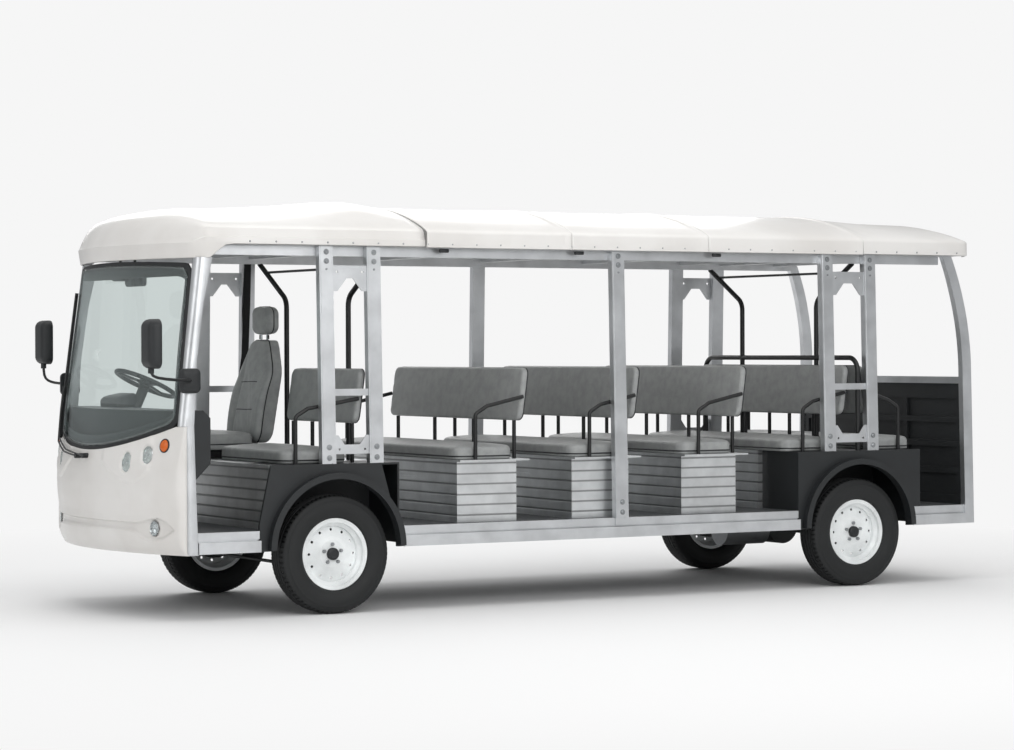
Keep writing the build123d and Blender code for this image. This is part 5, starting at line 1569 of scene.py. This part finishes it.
# each mirror: name, side, foot height, head X, head Z
mirror_places = [("left", 1, 1365, 2962, 1574), ("right", -1, 1330, 2695, 1590)]
mirror_out_y = 1180
for word, side, foot_z, head_x, head_z in mirror_places:
    foot_x = 2615
    foot_y = side * side_at(foot_z)

    def head_put(u, v, level):
        bow = 10 * (1 - (v / mirror_tall * 2) ** 2) if level > 30 else 0
        return (head_x - mirror_thick / 2 + level + bow * 0.9, side * mirror_out_y + u, head_z + v)

    head = pad_block(
        f"mirror_head_{word}",
        lambda inset: rounded_plan(mirror_width / 2 - inset, mirror_tall / 2 - inset, max(44 - inset, 10), 8),
        [(0, 8), (0.5, 2), (4, 0), (26, 0), (42, 4), (55, 13), (62, 24), (65, 40)],
        head_put,
    )
    head.data.materials.append(moulded_black)
    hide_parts(f"mirror_{word}")
    pane_back = pad_block(
        f"mirror_glass_{word}",
        lambda inset: rounded_plan(
            mirror_width / 2 - glass_margin - inset,
            mirror_tall / 2 - glass_margin - inset,
            max(36 - inset, 8),
            8,
        ),
        [(-0.8, 1), (-0.8, 0), (1.2, 0)],
        lambda u, v, level: (head_x - mirror_thick / 2 + level, side * mirror_out_y + u, head_z + v),
    )
    pane_back.data.materials.append(mirror_silver)
    # the arm leaves the foot, runs out level, and turns up into the head's hub
    bend_z = foot_z + 20
    low_z = head_z - mirror_tall / 2 - 18
    arm_end_x = head_x - 4
    route = [
        (foot_x, foot_y + side * 10, foot_z),
        (foot_x + 12, foot_y + side * 60, foot_z + 2),
        (foot_x + (arm_end_x - foot_x) * 0.45, side * (mirror_out_y - 70), foot_z + 6),
        (arm_end_x - 22, side * (mirror_out_y - 14), bend_z),
        (arm_end_x, side * mirror_out_y, bend_z + 26),
        (arm_end_x, side * mirror_out_y, low_z + 30),
    ]
    arm = cord(f"mirror_arm_{word}", [route], 9, sides=16, closed=False)
    softened = arm.modifiers.new("bends", "SUBSURF")
    softened.levels = 1
    bpy.context.view_layer.update()
    settle(arm)
    arm.data.materials.append(powder_black)
    hub = cord(
        f"mirror_hub_{word}",
        [[(arm_end_x, side * mirror_out_y, low_z - 8), (arm_end_x, side * mirror_out_y, low_z + 44)]],
        17,
        sides=24,
        closed=False,
    )
    hub.data.materials.append(moulded_black)
    shoe = pad_block(
        f"mirror_foot_{word}",
        lambda inset: rounded_plan(62 - inset, 70 - inset, max(30 - inset, 8), 8),
        [(0, 0), (20, 0), (30, 5), (36, 16), (38, 34)],
        lambda u, v, level: (foot_x + u, foot_y + side * (level - 1), foot_z + v),
    )
    shoe.data.materials.append(moulded_black)

# Wiper
# A pantograph wiper: two parallel steel rods from sealed spindles on the nose carry a long blade,
# whose rubber edge runs just over the screen.
wiper_black = moulded_finish("black_enamelled_steel", "#141516", 0.4, 2, 0.06)


def screen_at(y, z, proud):
    # a point in front of the glass or the nose
    if z > screen_foot_z:
        return face_place(y, z, -proud)
    return front_place(y, z, proud)


def over_screen(run, proud, step=40):
    fine = []
    for (y0, z0), (y1, z1) in zip(run, run[1:]):
        pieces = max(1, int(math.dist((y0, z0), (y1, z1)) / step))
        for piece in range(pieces):
            share = piece / pieces
            fine.append(screen_at(y0 + (y1 - y0) * share, z0 + (z1 - z0) * share, proud))
    fine.append(screen_at(run[-1][0], run[-1][1], proud))
    return fine


# across, height
spindle_places = [(-77, 918), (35, 922)]
rod_proud = 30
rods = [
    over_screen([spindle_places[0], (-330, 935), (-560, 990), (-640, 1180), (-662, 1320)], rod_proud),
    over_screen([spindle_places[1], (-300, 950), (-535, 1012), (-612, 1190), (-634, 1320)], rod_proud),
]
rod_piece = cord("wiper_rods", rods, 5, sides=12, closed=False)
rod_piece.data.materials.append(wiper_black)
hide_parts("wiper")
blade_run = [(-560, 1010), (-655, 1180), (-690, 1400), (-720, 1650), (-765, 1890)]
blade_bar = cord("wiper_blade_bar", [over_screen(blade_run, 20)], 6.5, sides=8, closed=False)
blade_bar.data.materials.append(wiper_black)
blade_edge = cord("wiper_blade_rubber", [over_screen(blade_run, 9)], 4.5, sides=6, closed=False)
blade_edge.data.materials.append(rubber)
spindles = []
for y, z in spindle_places:
    spindles.append([screen_at(y, z, -6), screen_at(y, z, 36)])
spindle_piece = cord("wiper_spindles", spindles, 15, sides=24, closed=False)
spindle_piece.data.materials.append(moulded_black)

# Dashboard instruments
# A dark glass display under a grained plastic hood over the steering column,
# and a row of black plastic rocker switches.
dash_black = moulded_finish("grained_dash_skin", "#1C1E20", 0.58, 3, 0.3)
hood_x = 2500
hood_z = 1238
hood = pad_block(
    "instrument_hood",
    lambda inset: rounded_plan(150 - inset, 60 - inset, max(46 - inset, 10), 8),
    [(0, 6), (4, 0), (90, 0), (120, 6), (138, 20)],
    lambda u, v, level: (hood_x - 60 + level * 0.9, driver_y + u, hood_z + v * 0.7 - level * 0.16),
)
hood.data.materials.append(dash_black)
display = pad_block(
    "instrument_display",
    lambda inset: rounded_plan(122 - inset, 40 - inset, max(16 - inset, 4)),
    [(0, 2), (1, 0), (6, 0)],
    lambda u, v, level: (hood_x - 66 + level, driver_y + u, hood_z + v * 0.7),
)
display.data.materials.append(moulded_finish("dark_display_glass", "#0B0D0F", 0.1, 8, 0.0))
switch_pitch = 46
switches = []
for number in range(7):
    switches.append(pad_block(
        f"rocker_switch_{number + 1}",
        lambda inset: rounded_plan(11 - inset, 17 - inset, max(3 - inset, 1), 3),
        [(0, 0), (5, 0), (7, 2)],
        lambda u, v, level: (2453 - level, -150 + number * switch_pitch + u, 1110 + v),
    ))
for switch in switches:
    switch.data.materials.append(moulded_black)

# Steering wheel trim
# A soft moulded horn pad snapped over the wheel's hub,
# and the black stitches of a cover sewn round its rim.
wheel_middle = Vector((2320, driver_y, 1335))
wheel_tilt = math.radians(25)
wheel_axis = Vector((-math.sin(wheel_tilt), 0, math.cos(wheel_tilt)))
wheel_across = Vector((0, 1, 0))
wheel_up = wheel_axis.cross(wheel_across)


def on_wheel(radius, turn, rise):
    outward = wheel_across * math.cos(turn) + wheel_up * math.sin(turn)
    return tuple(wheel_middle + outward * radius + wheel_axis * rise)


horn_rows = []
for radius, rise in ((46, -10), (47, 6), (45, 14), (38, 19), (26, 22), (12, 23), (0.5, 23.4)):
    horn_rows.append([on_wheel(radius, 2 * math.pi * step / 36, rise) for step in range(36)])
horn = grid_piece("horn_pad", horn_rows, "steering_wheel", round_rows=True, crease=40)
horn.data.materials.append(dash_black)
stitch_count = 90
thread_points = []
for step in range(stitch_count):
    turn = 2 * math.pi * step / stitch_count
    thread_points.append([on_wheel(176, turn, 4), on_wheel(175.4, turn + 0.035, -4)])
thread = cord("grip_stitches", thread_points, 0.9, "steering_wheel", sides=5, closed=False)
thread.data.materials.append(piping_vinyl)

# Cabin fittings
# A wide inside mirror and a small recorder box hang behind the head of the screen,
# and the driver's belt comes down from a guide on the roof rail.
inside_mirror_y = -24
inside_mirror_z = 1980
recorder_y = -249
stem_x = 2552
stem_top_z = 2175
inside_mirror = pad_block(
    "inside_mirror",
    lambda inset: rounded_plan(142 - inset, 62 - inset, max(24 - inset, 6), 6),
    [(0, 4), (3, 0), (20, 0), (26, 8)],
    lambda u, v, level: (2535 + level, inside_mirror_y + u, inside_mirror_z + v),
)
inside_mirror.data.materials.append(moulded_black)
inside_glass = pad_block(
    "inside_mirror_glass",
    lambda inset: rounded_plan(134 - inset, 54 - inset, max(18 - inset, 4), 6),
    [(0, 0), (2, 0)],
    lambda u, v, level: (2533 + level, inside_mirror_y + u, inside_mirror_z + v),
)
inside_glass.data.materials.append(mirror_silver)
recorder = pad_block(
    "recorder_box",
    lambda inset: rounded_plan(82 - inset, 46 - inset, max(12 - inset, 4), 5),
    [(0, 3), (3, 0), (60, 0), (66, 5)],
    lambda u, v, level: (2510 + level, recorder_y + u, 2001 + v),
)
recorder.data.materials.append(moulded_black)
stems = cord("mirror_stems", [
    [(stem_x, inside_mirror_y, 2030), (stem_x, inside_mirror_y, stem_top_z)],
    [(stem_x, recorder_y, 2040), (stem_x, recorder_y, stem_top_z)],
], 8, sides=12, closed=False)
stems.data.materials.append(powder_black)


def woven_finish(name, colour, weave_mm):
    # woven polyester webbing: fine ribs across its length, with painted shade in the troughs between them
    made = bpy.data.materials.new(name)
    made.use_nodes = True
    tree = made.node_tree
    shader = tree.nodes["Principled BSDF"]
    place = add(tree, "TexCoord").outputs["Object"]
    ribs = add(tree, "TexWave", {
        "Vector": place,
        "Scale": 1 / (weave_mm * MM * 2 * math.pi),
        "Distortion": 0.4,
    })
    # the troughs between the ribs are painted down to six tenths of the base colour: painted shade
    tone = add(tree, "ValToRGB", {0: ribs.outputs["Fac"]})
    base = paint(colour)
    tone.color_ramp.elements[0].color = tuple(part * 0.6 for part in base[:3]) + (1.0,)
    tone.color_ramp.elements[1].color = base
    tree.links.new(tone.outputs[0], shader.inputs["Base Color"])
    bump = add(tree, "Bump", {"Height": ribs.outputs["Fac"], "Strength": 0.3, "Distance": 0.0005})
    tree.links.new(bump.outputs[0], shader.inputs["Normal"])
    shader.inputs["Roughness"].default_value = 0.75
    return made


belt_half = 24
belt_run = [
    (1436, -852, 2106),
    (1440, -850, 1960),
    (1446, -846, 1826),
    (1500, -760, 1500),
    (1590, -690, 1120),
    (1660, -664, 962),
]
belt_points = []
belt_faces = []
for x, y, z in belt_run:
    for across, thick in ((-belt_half, 0), (belt_half, 0), (belt_half, 1.6), (-belt_half, 1.6)):
        belt_points.append((x + across, y + thick, z + across * 0.12))
for number in range(len(belt_run) - 1):
    base = number * 4
    for corner in range(4):
        beside = (corner + 1) % 4
        belt_faces.append((base + corner, base + beside, base + 4 + beside, base + 4 + corner))
belt_faces.append((3, 2, 1, 0))
belt_faces.append(tuple(4 * len(belt_run) - 4 + corner for corner in range(4)))
belt = new_piece("driver_belt", belt_points, belt_faces, crease=30)
belt.data.materials.append(woven_finish("black_polyester_webbing", "#1A1B1D", 1.4))

# Post faces and fastenings
# Each post is closed by a snap-in aluminium face strip, and held by plated hexagon bolts:
# two large and a small one under the roof rail, and two large ones at its foot.
strip_width = 72
strip_thick = 1.6
# each post: the middle of its width and its foot's height
post_places = [(1740, 875), (1430, 875), (-260, 500), (-1845, 875), (-2185, 875)]
post_head_z = 2140
bolt_places = {1: [], -1: []}
small_bolts = {1: [], -1: []}
for side in (1, -1):
    for number, (post_x, foot_z) in enumerate(post_places):
        strip_rows = []
        for z in (foot_z + 4, post_head_z):
            y = side_at(z)
            strip_rows.append([
                (post_x - strip_width / 2, side * (y - 1), z),
                (post_x - strip_width / 2, side * (y + strip_thick - 0.6), z),
                (post_x - strip_width / 2 + 1, side * (y + strip_thick), z),
                (post_x + strip_width / 2 - 1, side * (y + strip_thick), z),
                (post_x + strip_width / 2, side * (y + strip_thick - 0.6), z),
                (post_x + strip_width / 2, side * (y - 1), z),
            ])
        word = "left" if side > 0 else "right"
        strip = grid_piece(f"post_face_{word}_{number + 1}", strip_rows, round_rows=True, crease=30)
        strip.data.materials.append(upright_aluminium)
        for z in (foot_z + 34, foot_z + 96, post_head_z - 86, post_head_z - 32):
            bolt_places[side].append((post_x, side * (side_at(z) + strip_thick), z))
        small_z = post_head_z - 132
        small_bolts[side].append((post_x, side * (side_at(small_z) + strip_thick), small_z))
for side, word in ((1, "left"), (-1, "right")):
    large = hexagons(f"post_bolts_{word}", bolt_places[side], side, 12, 8, "root")
    large.data.materials.append(nut_steel)
    small = hexagons(f"post_screws_{word}", small_bolts[side], side, 7, 5, "root")
    small.data.materials.append(nut_steel)
    washers = []
    for place in bolt_places[side]:
        washers.append([place, (place[0], place[1] + side * 1.8, place[2])])
    washer_piece = cord(f"post_washers_{word}", washers, 17, sides=24, closed=False)
    washer_piece.data.materials.append(nut_steel)

# Curtain clips
# Moulded black plastic clips, snapped under the roof rail to hold a rain curtain's cord,
# three on each side.
clip_z = 2124
for side, word in ((1, "left"), (-1, "right")):
    for number, clip_x in enumerate((960, 20, -990)):
        clip = pad_block(
            f"curtain_clip_{word}_{number + 1}",
            lambda inset: rounded_plan(32 - inset, 11 - inset, max(7 - inset, 2), 5),
            [(0, 0), (9, 0), (13, 3)],
            lambda u, v, level: (clip_x + u, side * (side_at(clip_z) - 3 + level), clip_z + v),
        )
        clip.data.materials.append(moulded_black)

# Seat box fittings
# Two moulded black nylon vents, snapped into the front of the box under the driver,
# each a small square turned to stand as a diamond.
vent_black = moulded_finish("black_nylon_vent", "#121314", 0.5, 2, 0.1)
vent_half = 30
driver_box_front_x = front_axle_x + 440


def diamond_plan(inset):
    # a small square turned an eighth of a turn
    square = rounded_plan(vent_half - inset, vent_half - inset, max(4 - inset, 1), 3)
    return [((u - v) * 0.707, (u + v) * 0.707) for u, v in square]


for number, (vent_y, vent_z) in enumerate(((-560, 720), (-290, 720))):
    vent = pad_block(
        f"diamond_vent_{number + 1}",
        diamond_plan,
        [(0, 0), (3, 0), (5, 3)],
        lambda u, v, level: (driver_box_front_x + level, vent_y + u, vent_z + v),
    )
    vent.data.materials.append(vent_black)
